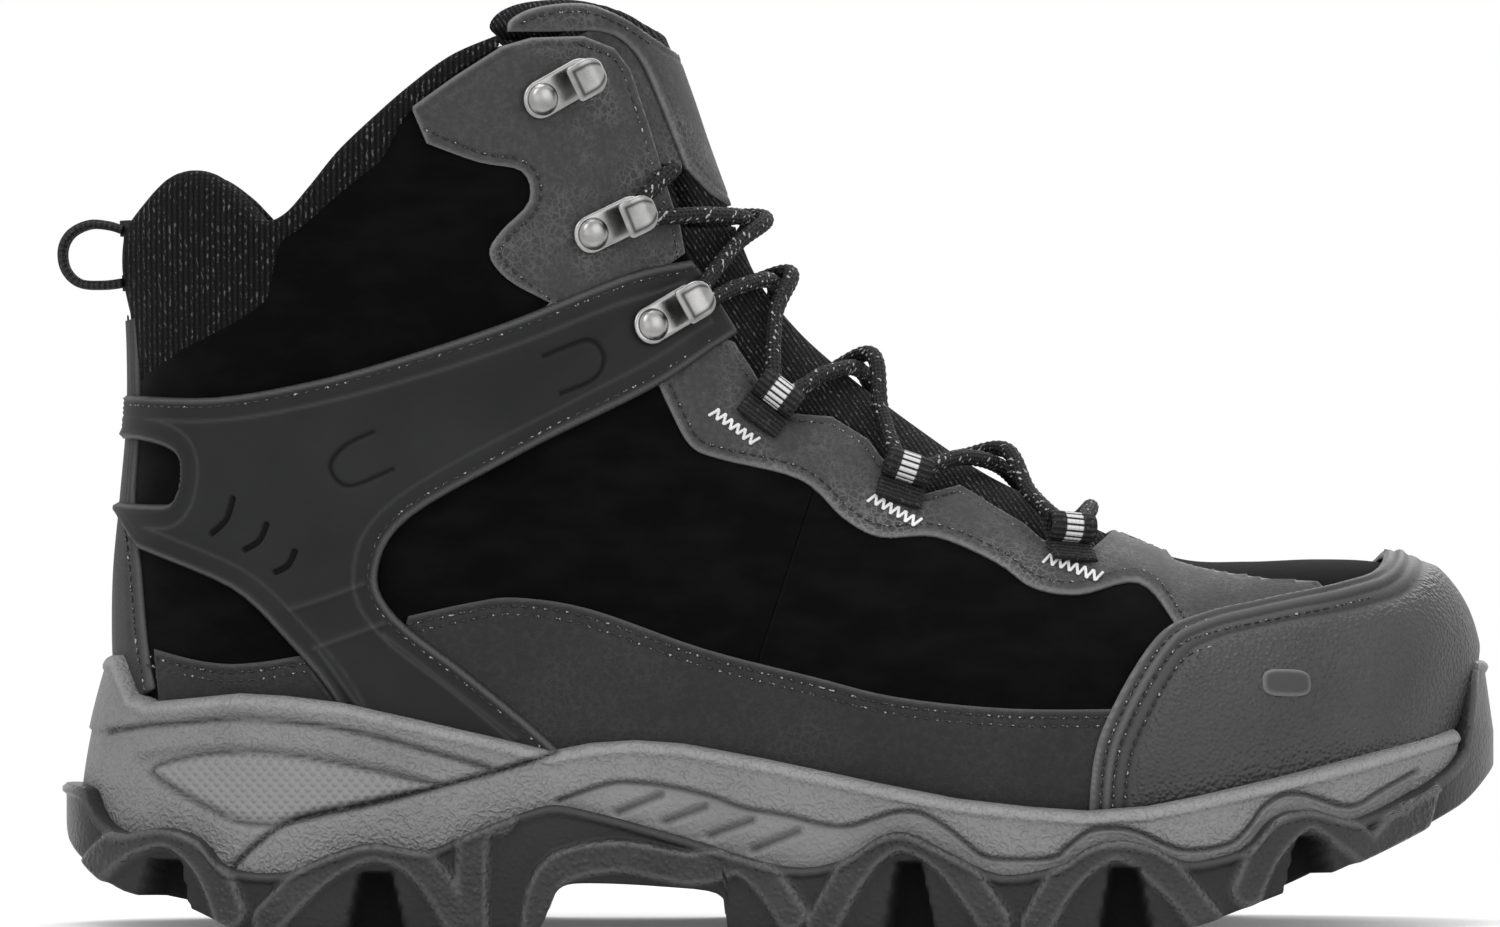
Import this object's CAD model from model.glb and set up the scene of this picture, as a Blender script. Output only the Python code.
import math
import bmesh
import bpy
import numpy as np
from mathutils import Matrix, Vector
from mathutils.geometry import delaunay_2d_cdt
from mathutils.kdtree import KDTree


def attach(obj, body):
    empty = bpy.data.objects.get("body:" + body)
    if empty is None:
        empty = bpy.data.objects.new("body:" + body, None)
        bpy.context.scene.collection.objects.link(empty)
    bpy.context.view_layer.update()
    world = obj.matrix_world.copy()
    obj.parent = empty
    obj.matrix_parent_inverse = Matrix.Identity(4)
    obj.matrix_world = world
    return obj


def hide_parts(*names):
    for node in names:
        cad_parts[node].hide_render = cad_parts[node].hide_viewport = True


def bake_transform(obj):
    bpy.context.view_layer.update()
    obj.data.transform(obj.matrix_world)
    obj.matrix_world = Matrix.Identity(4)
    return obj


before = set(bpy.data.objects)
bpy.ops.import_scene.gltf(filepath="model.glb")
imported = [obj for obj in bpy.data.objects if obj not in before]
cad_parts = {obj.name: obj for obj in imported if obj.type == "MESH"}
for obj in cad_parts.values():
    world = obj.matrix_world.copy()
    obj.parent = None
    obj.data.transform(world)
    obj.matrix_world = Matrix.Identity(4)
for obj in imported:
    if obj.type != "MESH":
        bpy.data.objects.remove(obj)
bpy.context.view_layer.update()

mm = 0.001  # outlines below are in millimetres, meshes in metres

view = {"target": (-5.9, 0, 101.1), "distance": 2750, "lens": 300, "sensor": 36}


def makeCamera():
    data = bpy.data.cameras.new("viewCamera")
    data.lens = view["lens"]
    data.sensor_width = view["sensor"]
    data.clip_end = 20
    camera = bpy.data.objects.new("viewCamera", data)
    bpy.context.scene.collection.objects.link(camera)
    x, y, z = view["target"]
    camera.location = (x * mm, (y - view["distance"]) * mm, z * mm)
    camera.rotation_euler = (math.radians(90), 0, 0)
    bpy.context.scene.camera = camera


lamps = [
    # name, place in metres, size, power
    ("keyLight", (-0.5, -1.1, 1.3), 0.9, 7),
    ("fillLight", (1.1, -1.0, 0.7), 0.9, 3.5),
    ("frontLight", (0.0, -1.7, 0.15), 1.2, 3),
    ("rimLight", (0.5, 1.3, 1.0), 0.8, 6),
    ("topLight", (0.0, 0.1, 1.6), 0.8, 6),
]


def makeLights():
    for name, place, size, power in lamps:
        data = bpy.data.lights.new(name, "AREA")
        data.size = size
        data.energy = power
        lamp = bpy.data.objects.new(name, data)
        lamp.location = place
        aim = Vector((0, 0, 0.07)) - Vector(place)
        lamp.rotation_euler = aim.to_track_quat("-Z", "Y").to_euler()
        bpy.context.scene.collection.objects.link(lamp)
    world = bpy.data.worlds.new("studio")
    world.use_nodes = True
    backdrop = world.node_tree.nodes["Background"]
    backdrop.inputs["Color"].default_value = (1, 1, 1, 1)
    backdrop.inputs["Strength"].default_value = 1.0
    bpy.context.scene.world = world
    bpy.context.scene.view_settings.view_transform = "Standard"


class Wire:

    def __init__(self, shade, socket):
        self.shade = shade
        self.socket = socket

    def __add__(self, other):
        return self.shade.math("ADD", self, other)

    def __radd__(self, other):
        return self.shade.math("ADD", other, self)

    def __sub__(self, other):
        return self.shade.math("SUBTRACT", self, other)

    def __rsub__(self, other):
        return self.shade.math("SUBTRACT", other, self)

    def __mul__(self, other):
        return self.shade.math("MULTIPLY", self, other)

    def __rmul__(self, other):
        return self.shade.math("MULTIPLY", other, self)


class Shade:
    def __init__(self, name):
        self.material = bpy.data.materials.new(name)
        self.material.use_nodes = True
        self.tree = self.material.node_tree
        self.tree.nodes.clear()
        self.output = self.tree.nodes.new("ShaderNodeOutputMaterial")

    def node(self, kind, settings=None, sockets=None, out=0):
        made = self.tree.nodes.new(kind)
        for key, value in (settings or {}).items():
            if key == "stops":
                ramp = made.color_ramp
                while len(ramp.elements) < len(value):
                    ramp.elements.new(0.5)
                for element, (place, colour) in zip(ramp.elements, value):
                    element.position = place
                    element.color = colour
            else:
                setattr(made, key, value)
        for key, value in (sockets or {}).items():
            if isinstance(value, Wire):
                self.tree.links.new(value.socket, made.inputs[key])
            else:
                made.inputs[key].default_value = value
        return Wire(self, made.outputs[out])

    def math(self, operation, first, second=0.0, clamp=False):
        return self.node("ShaderNodeMath", {"operation": operation, "use_clamp": clamp},
                         {0: first, 1: second})

    def mix(self, amount, first, second):
        return self.node("ShaderNodeMix", {"data_type": "RGBA"},
                         {0: amount, 6: first, 7: second}, out=2)

    def place(self, scale=(1, 1, 1), turn=(0, 0, 0)):
        coordinate = self.node("ShaderNodeTexCoord", out=3)
        return self.node("ShaderNodeMapping", {}, {"Vector": coordinate, "Scale": scale,
                                                   "Rotation": turn})

    def noise(self, scale, detail=2.0, where=None, rough=0.5):
        where = where or self.place()
        return self.node("ShaderNodeTexNoise", {}, {"Vector": where, "Scale": scale,
                                                    "Detail": detail, "Roughness": rough})

    def cells(self, scale, where=None, feature="F1", spread=1.0):
        where = where or self.place()
        return self.node("ShaderNodeTexVoronoi", {"feature": feature},
                         {"Vector": where, "Scale": scale, "Randomness": spread})

    def spread(self, value, low, high, newLow=0.0, newHigh=1.0):
        return self.node("ShaderNodeMapRange", {}, {"Value": value, "From Min": low,
                         "From Max": high, "To Min": newLow, "To Max": newHigh})

    def attribute(self, name):
        return self.node("ShaderNodeAttribute", {"attribute_name": name}, out=2)

    def bump(self, height, strength, distance, below=None):
        sockets = {"Height": height, "Strength": strength, "Distance": distance}
        if below:
            sockets["Normal"] = below
        return self.node("ShaderNodeBump", {}, sockets)

    def finish(self, **sockets):
        surface = self.node("ShaderNodeBsdfPrincipled", {}, {k.replace("_", " "): v
                            for k, v in sockets.items()})
        self.tree.links.new(surface.socket, self.output.inputs["Surface"])
        return self.material


def grey(level, warmth=0.0):
    return (level * (1 + warmth), level, level * (1 - warmth), 1)


def leatherFinish(name, dark, light, crackle, rough):
    shade = Shade(name)
    grain = shade.cells(1900, feature="DISTANCE_TO_EDGE")
    creases = shade.cells(620, shade.place((1, 1, 1)), "DISTANCE_TO_EDGE")
    patches = shade.spread(shade.noise(38, 4), 0.46, 0.72)
    edge = shade.attribute("edge")
    wander = shade.node("ShaderNodeVectorMath", {"operation": "MULTIPLY_ADD"}, {
        0: shade.node("ShaderNodeTexNoise", {}, {"Vector": shade.place(), "Scale": 500}, out=1),
        1: (0.0016, 0.0016, 0.0016), 2: shade.place()})
    webs = shade.spread(shade.cells(640, wander, "DISTANCE_TO_EDGE"), 0.0, 0.13, 1.0, 0.0)
    fine = shade.spread(shade.noise(700, 5, rough=0.7), 0.45, 0.75)
    crackled = webs * patches * crackle + fine * 0.14
    pale = shade.math("ADD", crackled, edge * 0.75, clamp=True)
    colour = shade.mix(pale, grey(dark), grey(light))
    height = shade.spread(grain, 0, 0.12) * 0.6 + shade.spread(creases, 0, 0.1) * 0.4
    return shade.finish(Base_Color=colour, Roughness=rough - patches * 0.1,
                        Specular_IOR_Level=0.3, Normal=shade.bump(height, 0.5, 0.0002))


def suedeFinish():
    shade = Shade("suedeNap")
    nap = shade.noise(2600, 4, rough=0.7)
    brushed = shade.noise(70, 4, shade.place((1, 1, 2.2)))
    flecks = shade.spread(shade.cells(420), 0.0, 0.045, 1.0, 0.0)
    colour = shade.mix(shade.spread(brushed, 0.4, 0.7), grey(0.0016), grey(0.0036))
    colour = shade.mix(flecks * 0.3, colour, grey(0.03))
    return shade.finish(Base_Color=colour, Roughness=0.95, Sheen_Weight=0.05,
                        Sheen_Roughness=0.4, Specular_IOR_Level=0.05,
                        Normal=shade.bump(nap, 0.5, 0.0002))


def bandFinish():
    shade = Shade("bandMatt")
    grain = shade.noise(2400, 3)
    broad = shade.spread(shade.noise(40, 3), 0.35, 0.7)
    edge = shade.attribute("edge")
    colour = shade.mix(broad, grey(0.014, -0.02), grey(0.019, -0.02))
    colour = shade.mix(edge * 0.7, colour, grey(0.1))
    colour = shade.mix(shade.attribute("groove") * 0.9, colour, grey(0.0015))
    return shade.finish(Base_Color=colour, Roughness=0.5, Specular_IOR_Level=0.1,
                        Normal=shade.bump(grain, 0.25, 0.0001))


def toeFinish():
    shade = Shade("toeRubber")
    field = shade.attribute("field")
    pebble = shade.cells(1150, feature="SMOOTH_F1")
    fine = shade.noise(1500, 3)
    edge = shade.attribute("edge")
    colour = shade.mix(shade.spread(shade.noise(50, 3), 0.3, 0.7), grey(0.030), grey(0.040))
    colour = shade.mix(edge * 0.8, colour, grey(0.2))
    colour = shade.mix(shade.attribute("groove") * 0.7, colour, grey(0.003))
    height = shade.spread(pebble, 0.1, 0.6, 1, 0) * field + fine * 0.2
    return shade.finish(Base_Color=colour, Roughness=0.5 - field * 0.08,
                        Specular_IOR_Level=0.35,
                        Normal=shade.bump(height, 0.7, 0.0005))


def knitFinish(name, dark, light, ribs, slant=0.0):
    shade = Shade(name)
    where = shade.place((1, 1, 1), (0, slant, 0))
    across = shade.node("ShaderNodeTexWave", {"wave_type": "BANDS", "bands_direction": "X"},
                        {"Vector": where, "Scale": ribs, "Distortion": 0.6,
                         "Detail": 1.0, "Detail Scale": 8.0})
    along = shade.node("ShaderNodeTexWave", {"wave_type": "BANDS", "bands_direction": "Z"},
                       {"Vector": where, "Scale": ribs * 1.3, "Distortion": 1.0,
                        "Detail": 1.0, "Detail Scale": 6.0})
    flecks = shade.spread(shade.noise(1500, 2, shade.place((1, 1, 0.5))), 0.56, 0.7)
    colour = shade.mix(across, grey(dark * 0.4), grey(dark * 1.6))
    colour = shade.mix(flecks * shade.spread(across, 0.4, 0.9) * 0.6, colour, grey(light))
    height = across * 0.7 + along * 0.3
    return shade.finish(Base_Color=colour, Roughness=0.92, Specular_IOR_Level=0.1,
                        Normal=shade.bump(height, 0.8, 0.0004))


def foamFinish():
    shade = Shade("midsoleFoam")
    lens = shade.attribute("lens")
    groove = shade.attribute("groove")
    panel = shade.attribute("panel")
    veins = shade.noise(620, 1.5, shade.place((1, 1, 1)), 0.4)
    ridges = shade.node("ShaderNodeMath", {"operation": "PINGPONG"}, {0: veins * 6, 1: 1.0})
    turned = shade.place((1, 1, 1), (0, math.radians(45), 0))
    firstSet = shade.node("ShaderNodeTexWave", {"bands_direction": "X"},
                          {"Vector": turned, "Scale": 190})
    secondSet = shade.node("ShaderNodeTexWave", {"bands_direction": "Z"},
                           {"Vector": turned, "Scale": 190})
    dots = firstSet * secondSet
    plain = 1 - shade.math("MAXIMUM", lens, panel * 0.6)
    height = ridges * plain * 0.8 + dots * lens
    colour = shade.mix(shade.spread(shade.noise(45, 3), 0.3, 0.7), grey(0.15), grey(0.18))
    colour = shade.mix(lens * 0.6, colour, grey(0.21))
    colour = shade.mix(groove * 0.85, colour, grey(0.02))
    colour = shade.mix(shade.attribute("edge") * 0.35, colour, grey(0.32))
    return shade.finish(Base_Color=colour, Roughness=0.6,
                        Normal=shade.bump(height, 0.7, 0.0006))


def rubberFinish():
    shade = Shade("outsoleRubber")
    pebble = shade.cells(850, feature="SMOOTH_F1")
    shine = shade.attribute("edge")
    field = shade.attribute("field")
    colour = shade.mix(shade.spread(shade.noise(60, 3), 0.3, 0.7), grey(0.018), grey(0.030))
    colour = shade.mix(shine * 0.45, colour, grey(0.12))
    colour = shade.mix(shade.attribute("hollow") * 0.85, colour, grey(0.003))
    height = shade.spread(pebble, 0.05, 0.5, 1, 0) * (0.35 + field * 0.65)
    return shade.finish(Base_Color=colour, Roughness=0.36 - shine * 0.1 + shade.attribute("hollow") * 0.4,
                        Specular_IOR_Level=0.28, Normal=shade.bump(height, 0.8, 0.0005))


def plainFinish(name, level, rough, metal=0.0, scale=900.0, depth=0.0001):
    shade = Shade(name)
    tone = shade.spread(shade.noise(80, 3), 0.3, 0.7)
    colour = shade.mix(tone, grey(level * 0.85), grey(level * 1.15))
    return shade.finish(Base_Color=colour, Roughness=rough + tone * 0.08, Metallic=metal,
                        Normal=shade.bump(shade.noise(scale, 3), 0.3, depth))


def threadFinish(name, dark, light):
    shade = Shade(name)
    glint = shade.spread(shade.noise(1700, 1), 0.6, 0.66)
    colour = shade.mix(glint, grey(dark), grey(light))
    return shade.finish(Base_Color=colour, Roughness=0.55)


def strapFinish(name, dark, pale, stripe):
    shade = Shade(name)
    along = shade.attribute("along")
    across = shade.attribute("across")
    ribs = shade.math("SINE", along * 5.2)
    cords = shade.math("SINE", across * 7.0)
    centre = shade.spread(shade.math("ABSOLUTE", across), stripe, stripe + 0.25, 1.0, 0.0)
    dashes = shade.spread(ribs, -0.1, 0.4)
    flecks = shade.spread(shade.noise(1300, 2), 0.6, 0.7)
    colour = shade.mix(flecks * 0.4, grey(dark), grey(0.12))
    folded = shade.spread(along, 10.4, 11.0)
    colour = shade.mix(dashes * 0.35, colour, grey(0.05))
    colour = shade.mix(centre * folded * shade.spread(ribs, -0.75, -0.2) * pale, colour, grey(0.62))
    height = ribs * 0.6 + cords * 0.4
    return shade.finish(Base_Color=colour, Roughness=0.8, Specular_IOR_Level=0.2,
                        Normal=shade.bump(height, 0.8, 0.0003))


def laceFinish():
    shade = Shade("laceBraid")
    along = shade.attribute("along")
    turn = shade.attribute("turn")
    left = shade.math("SINE", turn * 6 + along * 2.86)
    right = shade.math("SINE", turn * 6 - along * 2.86)
    strand = shade.spread(left * right, -0.5, 0.5)
    flecks = shade.spread(shade.noise(750, 1), 0.58, 0.63)
    colour = shade.mix(strand, grey(0.002), grey(0.020))
    colour = shade.mix(flecks * shade.spread(left, 0.2, 0.7) * 0.8, colour, grey(0.42))
    return shade.finish(Base_Color=colour, Roughness=0.7, Specular_IOR_Level=0.2,
                        Normal=shade.bump(strand, 0.7, 0.0002))


def metalFinish():
    shade = Shade("hookNickel")
    groove = shade.attribute("edge")
    tone = shade.spread(shade.noise(300, 4), 0.3, 0.7)
    colour = shade.mix(tone, grey(0.26, 0.01), grey(0.36, 0.01))
    colour = shade.mix(groove * 0.9, colour, grey(0.012))
    return shade.finish(Base_Color=colour, Roughness=0.24 + tone * 0.1, Metallic=1.0,
                        Normal=shade.bump(shade.noise(2500, 3), 0.3, 0.00003))


def floorFinish():  # a pale floor that whitens away from the boot
    shade = Shade("floorPale")
    away = shade.node("ShaderNodeVectorMath", {"operation": "LENGTH"}, {0: shade.place()}, out=1)
    far = shade.spread(away, 0.16, 0.34)
    return shade.finish(Base_Color=shade.mix(far, grey(0.86), grey(0.0)), Roughness=1.0,
                        Specular_IOR_Level=0.0, Emission_Color=shade.mix(far, grey(0.1), grey(1.0)),
                        Emission_Strength=1.0)


def makeFinishes():
    return {
        "webbing": strapFinish("loopWebbing", 0.008, 0.95, 1.8),
        "pull": strapFinish("pullWebbing", 0.014, 0.0, 1.0),
        "lace": laceFinish(),
        "bartack": plainFinish("bartackThread", 0.65, 0.6),
        "guard": leatherFinish("leatherDark", 0.008, 0.09, 0.16, 0.56),
        "steel": plainFinish("shankSteel", 0.5, 0.35, 1.0, 1500, 0.00003),
        "board": plainFinish("pressedBoard", 0.4, 0.9, 0.0, 700, 0.0002),
        "aglet": plainFinish("agletPlastic", 0.01, 0.3),
        "pullTab": plainFinish("pullTabWebbing", 0.014, 0.85, 0.0, 1500, 0.0003),
        "leather": leatherFinish("leatherCrackled", 0.030, 0.22, 0.6, 0.62),
        "smooth": leatherFinish("leatherSmooth", 0.022, 0.09, 0.15, 0.6),
        "suede": suedeFinish(),
        "band": bandFinish(),
        "toe": toeFinish(),
        "knit": knitFinish("collarKnit", 0.006, 0.16, 260),
        "mesh": knitFinish("gussetMesh", 0.010, 0.2, 330, 0.6),
        "foam": foamFinish(),
        "rubber": rubberFinish(),
        "metal": metalFinish(),
        "thread": threadFinish("threadDark", 0.004, 0.3),
        "lining": plainFinish("liningCloth", 0.012, 0.9, 0.0, 2600, 0.0003),
        "footbed": plainFinish("footbedCloth", 0.03, 0.9, 0.0, 2200, 0.0003),
        "floor": floorFinish(),
    }


# Each section runs from a bottom point to a top point in side view:
# top x, top z, bottom x, bottom z, half width, half width at the bottom,
# roundness of the crown, height of the widest place, shift to the inner side
sections = np.array([
    [152.5, 50.5, 146.5, 38, 5, 3, 2, 0.35, 8],
    [151, 62, 145.5, 36, 15, 11, 2.2, 0.35, 8],
    [147.5, 70.5, 142.5, 34.5, 23, 18, 2.3, 0.35, 7.5],
    [141, 77, 136.5, 32, 32, 27, 2.4, 0.35, 6.5],
    [131.5, 79.5, 126.5, 29, 39.5, 35, 2.4, 0.35, 5],
    [118.5, 80, 112.5, 25.5, 45.5, 41, 2.4, 0.35, 3.5],
    [103.5, 79.5, 97, 22, 49, 44.5, 2.3, 0.35, 2],
    [89.5, 80, 82, 19.5, 50.5, 46, 2.2, 0.35, 1],
    [75, 85, 63, 18, 50.5, 46, 2, 0.34, 0],
    [59.5, 92.5, 43, 19.5, 49, 44, 1.85, 0.33, 0],
    [45.5, 99.5, 22, 23.5, 46.5, 41, 1.75, 0.33, 0],
    [31.5, 109, 1, 27, 44, 38, 1.65, 0.33, 0],
    [17.5, 119.5, -20, 31, 42, 36, 1.6, 0.34, 0],
    [7.5, 128, -45, 32, 40.5, 35, 1.6, 0.35, 0],
    [1, 135, -70, 35, 39.5, 34.5, 1.7, 0.36, 0],
    [-2.5, 139.5, -92, 39.5, 39, 34, 1.8, 0.38, 0],
    [-5, 144, -112, 42, 38.5, 31, 1.9, 0.4, 0],
    [-6.5, 147.5, -127, 41.5, 38, 25, 1.95, 0.42, 0],
    [-7.5, 150, -137, 42, 38, 17, 2, 0.43, 0],
    [-8.5, 152.5, -142, 46.5, 38, 8, 2, 0.44, 0],
    [-9, 155.5, -144, 58, 38.5, 0, 2, 0.45, 0],
    [-10.5, 160.5, -144, 76, 39, 0, 2, 0.45, 0],
    [-12.5, 166, -142.5, 93, 39, 0, 2.05, 0.45, 0],
    [-15, 173, -141, 111, 39.5, 0, 2.1, 0.45, 0],
    [-17.5, 180.5, -141, 128, 40.5, 0, 2.1, 0.45, 0],
    [-20.5, 189, -142, 145, 42, 0, 2.1, 0.45, 0],
    [-23.5, 198, -142.5, 160, 43.5, 0, 2.1, 0.45, 0],
    [-26, 207, -143, 176, 44.5, 0, 2.1, 0.45, 0],
    [-28.5, 216, -143.5, 192, 45.5, 0, 2.1, 0.45, 0],
])
lastSection = len(sections) - 1
heelSection = 19.9  # from here up the two sides meet along the back


def sectionAt(u):
    u = np.clip(np.asarray(u, float), 0, lastSection)
    i = np.minimum(u.astype(int), lastSection - 1)
    t = (u - i)[:, None]
    a, b = sections[np.maximum(i - 1, 0)], sections[i]
    c, d = sections[i + 1], sections[np.minimum(i + 2, lastSection)]
    return 0.5 * (2 * b + (c - a) * t + (2 * a - 5 * b + 4 * c - d) * t ** 2
                  + (3 * b - a - 3 * c + d) * t ** 3)


def skin(u, c):  # c runs 0 outer bottom, 1 top, 2 inner bottom
    u, c = np.broadcast_arrays(np.asarray(u, float), np.asarray(c, float))
    c = np.where(c < 0, c + 2, np.where(c > 2, c - 2, c))
    side = np.where(c <= 1, -1.0, 1.0)
    a = np.pi * (np.where(c <= 1, c, 2 - c) - 0.5)
    s = sectionAt(u.ravel())
    s = [s[:, k].reshape(u.shape) for k in range(9)]
    low = a < 0
    sine, cosine = np.sin(a), np.maximum(np.cos(a), 0)
    rise = np.where(low, s[7] * (1 + sine),
                    s[7] + (1 - s[7]) * np.maximum(sine, 0) ** (2 / s[6]))
    half = np.where(low, s[5] + (s[4] - s[5]) * cosine, s[4] * cosine ** (2 / s[6]))
    return np.stack([s[2] + (s[0] - s[2]) * rise, s[8] + side * half,
                     s[3] + (s[1] - s[3]) * rise], -1)


def unit(v):
    return v / np.maximum(np.linalg.norm(v, axis=-1, keepdims=True), 1e-9)


def skinNormal(u, c):
    du, dc = 0.04, 0.006
    u, c = np.broadcast_arrays(np.asarray(u, float), np.asarray(c, float))
    closed = u > heelSection
    low = np.where(closed, c - dc, np.maximum(c - dc, 0))
    high = np.where(closed, c + dc, np.minimum(c + dc, 2))
    alongU = skin(np.minimum(u + du, lastSection), c) - skin(np.maximum(u - du, 0), c)
    alongC = skin(u, high) - skin(u, low)
    return unit(np.cross(alongC, alongU))


fineU = np.linspace(0, lastSection, 541)
fineSections = sectionAt(fineU)


def fromSide(points):  # side view x, z to section and place round it, outer side
    points = np.asarray(points, float)
    run = fineSections[:, [0, 1]] - fineSections[:, [2, 3]]
    start = fineSections[:, [2, 3]]
    g = (run[None, :, 0] * (points[:, 1:2] - start[None, :, 1])
         - run[None, :, 1] * (points[:, 0:1] - start[None, :, 0]))
    change = g[:, :-1] * g[:, 1:] <= 0
    found = change.any(1)
    i = np.where(found, change.argmax(1), np.where(g[:, 0] * run[0, 1] < 0, 0, len(fineU) - 2))
    rows = np.arange(len(points))
    a, b = g[rows, i], g[rows, i + 1]
    t = np.where(found, a / np.where(a == b, 1, a - b), np.where(i == 0, 0.0, 1.0))
    u = fineU[i] + (fineU[i + 1] - fineU[i]) * np.clip(t, 0, 1)
    s = sectionAt(u)
    line = s[:, [0, 1]] - s[:, [2, 3]]
    rise = ((points - s[:, [2, 3]]) * line).sum(1) / (line ** 2).sum(1)
    rise = np.clip(rise, 0, 1)
    wide, crown = s[:, 7], s[:, 6]
    lowAngle = np.arcsin(np.clip(rise / wide - 1, -1, 0))
    highAngle = np.arcsin(np.clip(np.maximum(rise - wide, 0) / (1 - wide), 0, 1) ** (crown / 2))
    return u, np.where(rise < wide, lowAngle, highAngle) / np.pi + 0.5


topLength = np.concatenate([[0], np.cumsum(np.linalg.norm(np.diff(
    fineSections[:, :2], axis=0), axis=1))])
girthC = np.linspace(0, 1, 161)
girth = skin(fineU[::4, None], girthC[None, :])
girthLength = np.concatenate([np.zeros((len(girth), 1)), np.cumsum(
    np.linalg.norm(np.diff(girth, axis=1), axis=2), axis=1)], 1)
girthLength = girthLength - girthLength[:, -1:]


def toTop(u, c):  # the chart for pieces that cross the middle line
    i = np.interp(u, fineU[::4], np.arange(len(girth)))
    low = np.minimum(i.astype(int), len(girth) - 2)
    f = i - low
    j = np.interp(c, girthC, np.arange(len(girthC)))
    k = np.minimum(j.astype(int), len(girthC) - 2)
    g = j - k
    here = girthLength[low, k] * (1 - g) + girthLength[low, k + 1] * g
    after = girthLength[low + 1, k] * (1 - g) + girthLength[low + 1, k + 1] * g
    return np.stack([np.interp(u, fineU, topLength), here * (1 - f) + after * f], 1)


def fromTop(points):
    u = np.interp(points[:, 0], topLength, fineU)
    i = np.clip(np.interp(u, fineU[::4], np.arange(len(girth))), 0, len(girth) - 1)
    low = np.minimum(i.astype(int), len(girth) - 2)
    f = (i - low)[:, None]
    rows = girthLength[low] * (1 - f) + girthLength[low + 1] * f
    across = -np.abs(points[:, 1])
    c = np.array([np.interp(v, row, girthC) for v, row in zip(across, rows)])
    return u, np.where(points[:, 1] <= 0, c, 2 - c)


def smooth(points, count=6, loop=False):
    p = np.asarray(points, float)
    n = len(p)
    out = []
    for i in range(n if loop else n - 1):
        pick = (lambda k: p[k % n]) if loop else (lambda k: p[min(max(k, 0), n - 1)])
        a, b, c, d = pick(i - 1), pick(i), pick(i + 1), pick(i + 2)
        for k in range(count):
            t = k / count
            out.append(0.5 * (2 * b + (c - a) * t + (2 * a - 5 * b + 4 * c - d) * t * t
                              + (3 * b - a - 3 * c + d) * t ** 3))
    if not loop:
        out.append(p[-1])
    return np.array(out)


def evenly(path, step, loop=False):
    p = np.asarray(path, float)
    if loop:
        p = np.vstack([p, p[:1]])
    length = np.concatenate([[0], np.cumsum(np.linalg.norm(np.diff(p, axis=0), axis=1))])
    count = max(int(round(length[-1] / step)), 1)
    at = np.linspace(0, length[-1], count + 1)
    out = np.stack([np.interp(at, length, p[:, k]) for k in range(p.shape[1])], 1)
    return out[:-1] if loop else out


def densify(path, step):  # keeps the corners
    p = np.asarray(path, float)
    out = []
    for a, b in zip(p, np.roll(p, -1, 0)):
        n = max(int(math.ceil(np.linalg.norm(b - a) / step)), 1)
        out += [a + (b - a) * k / n for k in range(n)]
    return np.array(out)


def inside(points, loop):
    x, y = points[:, 0], points[:, 1]
    hit = np.zeros(len(points), bool)
    for (startX, startY), (endX, endY) in zip(loop, np.roll(loop, -1, 0)):
        if startY == endY:
            continue
        cross = (startY > y) != (endY > y)
        hit ^= cross & (x < (endX - startX) * (y - startY) / (endY - startY) + startX)
    return hit


def gapTo(points, path):  # distance from each point to the nearest point of a path
    size = 3
    tree = KDTree(len(path))
    for k, q in enumerate(path):
        tree.insert((*q, *([0] * (size - len(q)))), k)
    tree.balance()
    extra = [0] * (size - points.shape[1])
    return np.array([tree.find((*q, *extra))[2] for q in points])


def shifted(path, amount):  # moves a path to its left
    p = np.asarray(path, float)
    tangent = unit(np.gradient(p, axis=0))
    return p + amount * np.stack([-tangent[:, 1], tangent[:, 0]], 1)


def bell(distance, width):
    return np.exp(-(distance / width) ** 2)


def step(value, low, high):
    t = np.clip((value - low) / (high - low), 0, 1)
    return t * t * (3 - 2 * t)


def makeMesh(name, verts, faces, finish, marks=None, smoothed=True):
    mesh = bpy.data.meshes.new(name)
    mesh.from_pydata((np.asarray(verts) * mm).tolist(), [], faces)
    mesh.polygons.foreach_set("use_smooth", [smoothed] * len(mesh.polygons))
    for key, values in (marks or {}).items():
        layer = mesh.attributes.new(key, "FLOAT", "POINT")
        layer.data.foreach_set("value", np.asarray(values, np.float32))
    mesh.materials.append(finishes[finish])
    mesh.update()
    piece = bpy.data.objects.new(name, mesh)
    bpy.context.scene.collection.objects.link(piece)
    return piece


def place(piece, body, slot, nodes=()):
    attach(piece, body)
    if nodes:
        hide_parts(*nodes)


def closeSheet(top, bottom, faces):  # top and bottom skins joined along the rim
    count = len(top)
    edges = {}
    for f in faces:
        for a, b in zip(f, f[1:] + f[:1]):
            edges[(a, b)] = edges.get((a, b), 0) + 1
    rim = [e for e in edges if (e[1], e[0]) not in edges]
    walls = [[b, a, a + count, b + count] for a, b in rim]
    back = [[v + count for v in reversed(f)] for f in faces]
    return np.vstack([top, bottom]), faces + back + walls


edgeZone = 3.6  # the mesh is finer this near to an edge


def hexGrid(loop, spacing):
    low, high = loop.min(0), loop.max(0)
    rows = np.arange(low[1], high[1], spacing * 0.87)
    grid = [[x, z] for r, z in enumerate(rows)
            for x in np.arange(low[0] + (r % 2) * spacing / 2, high[0], spacing)]
    grid = np.array(grid)
    return grid[inside(grid, loop)]


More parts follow.
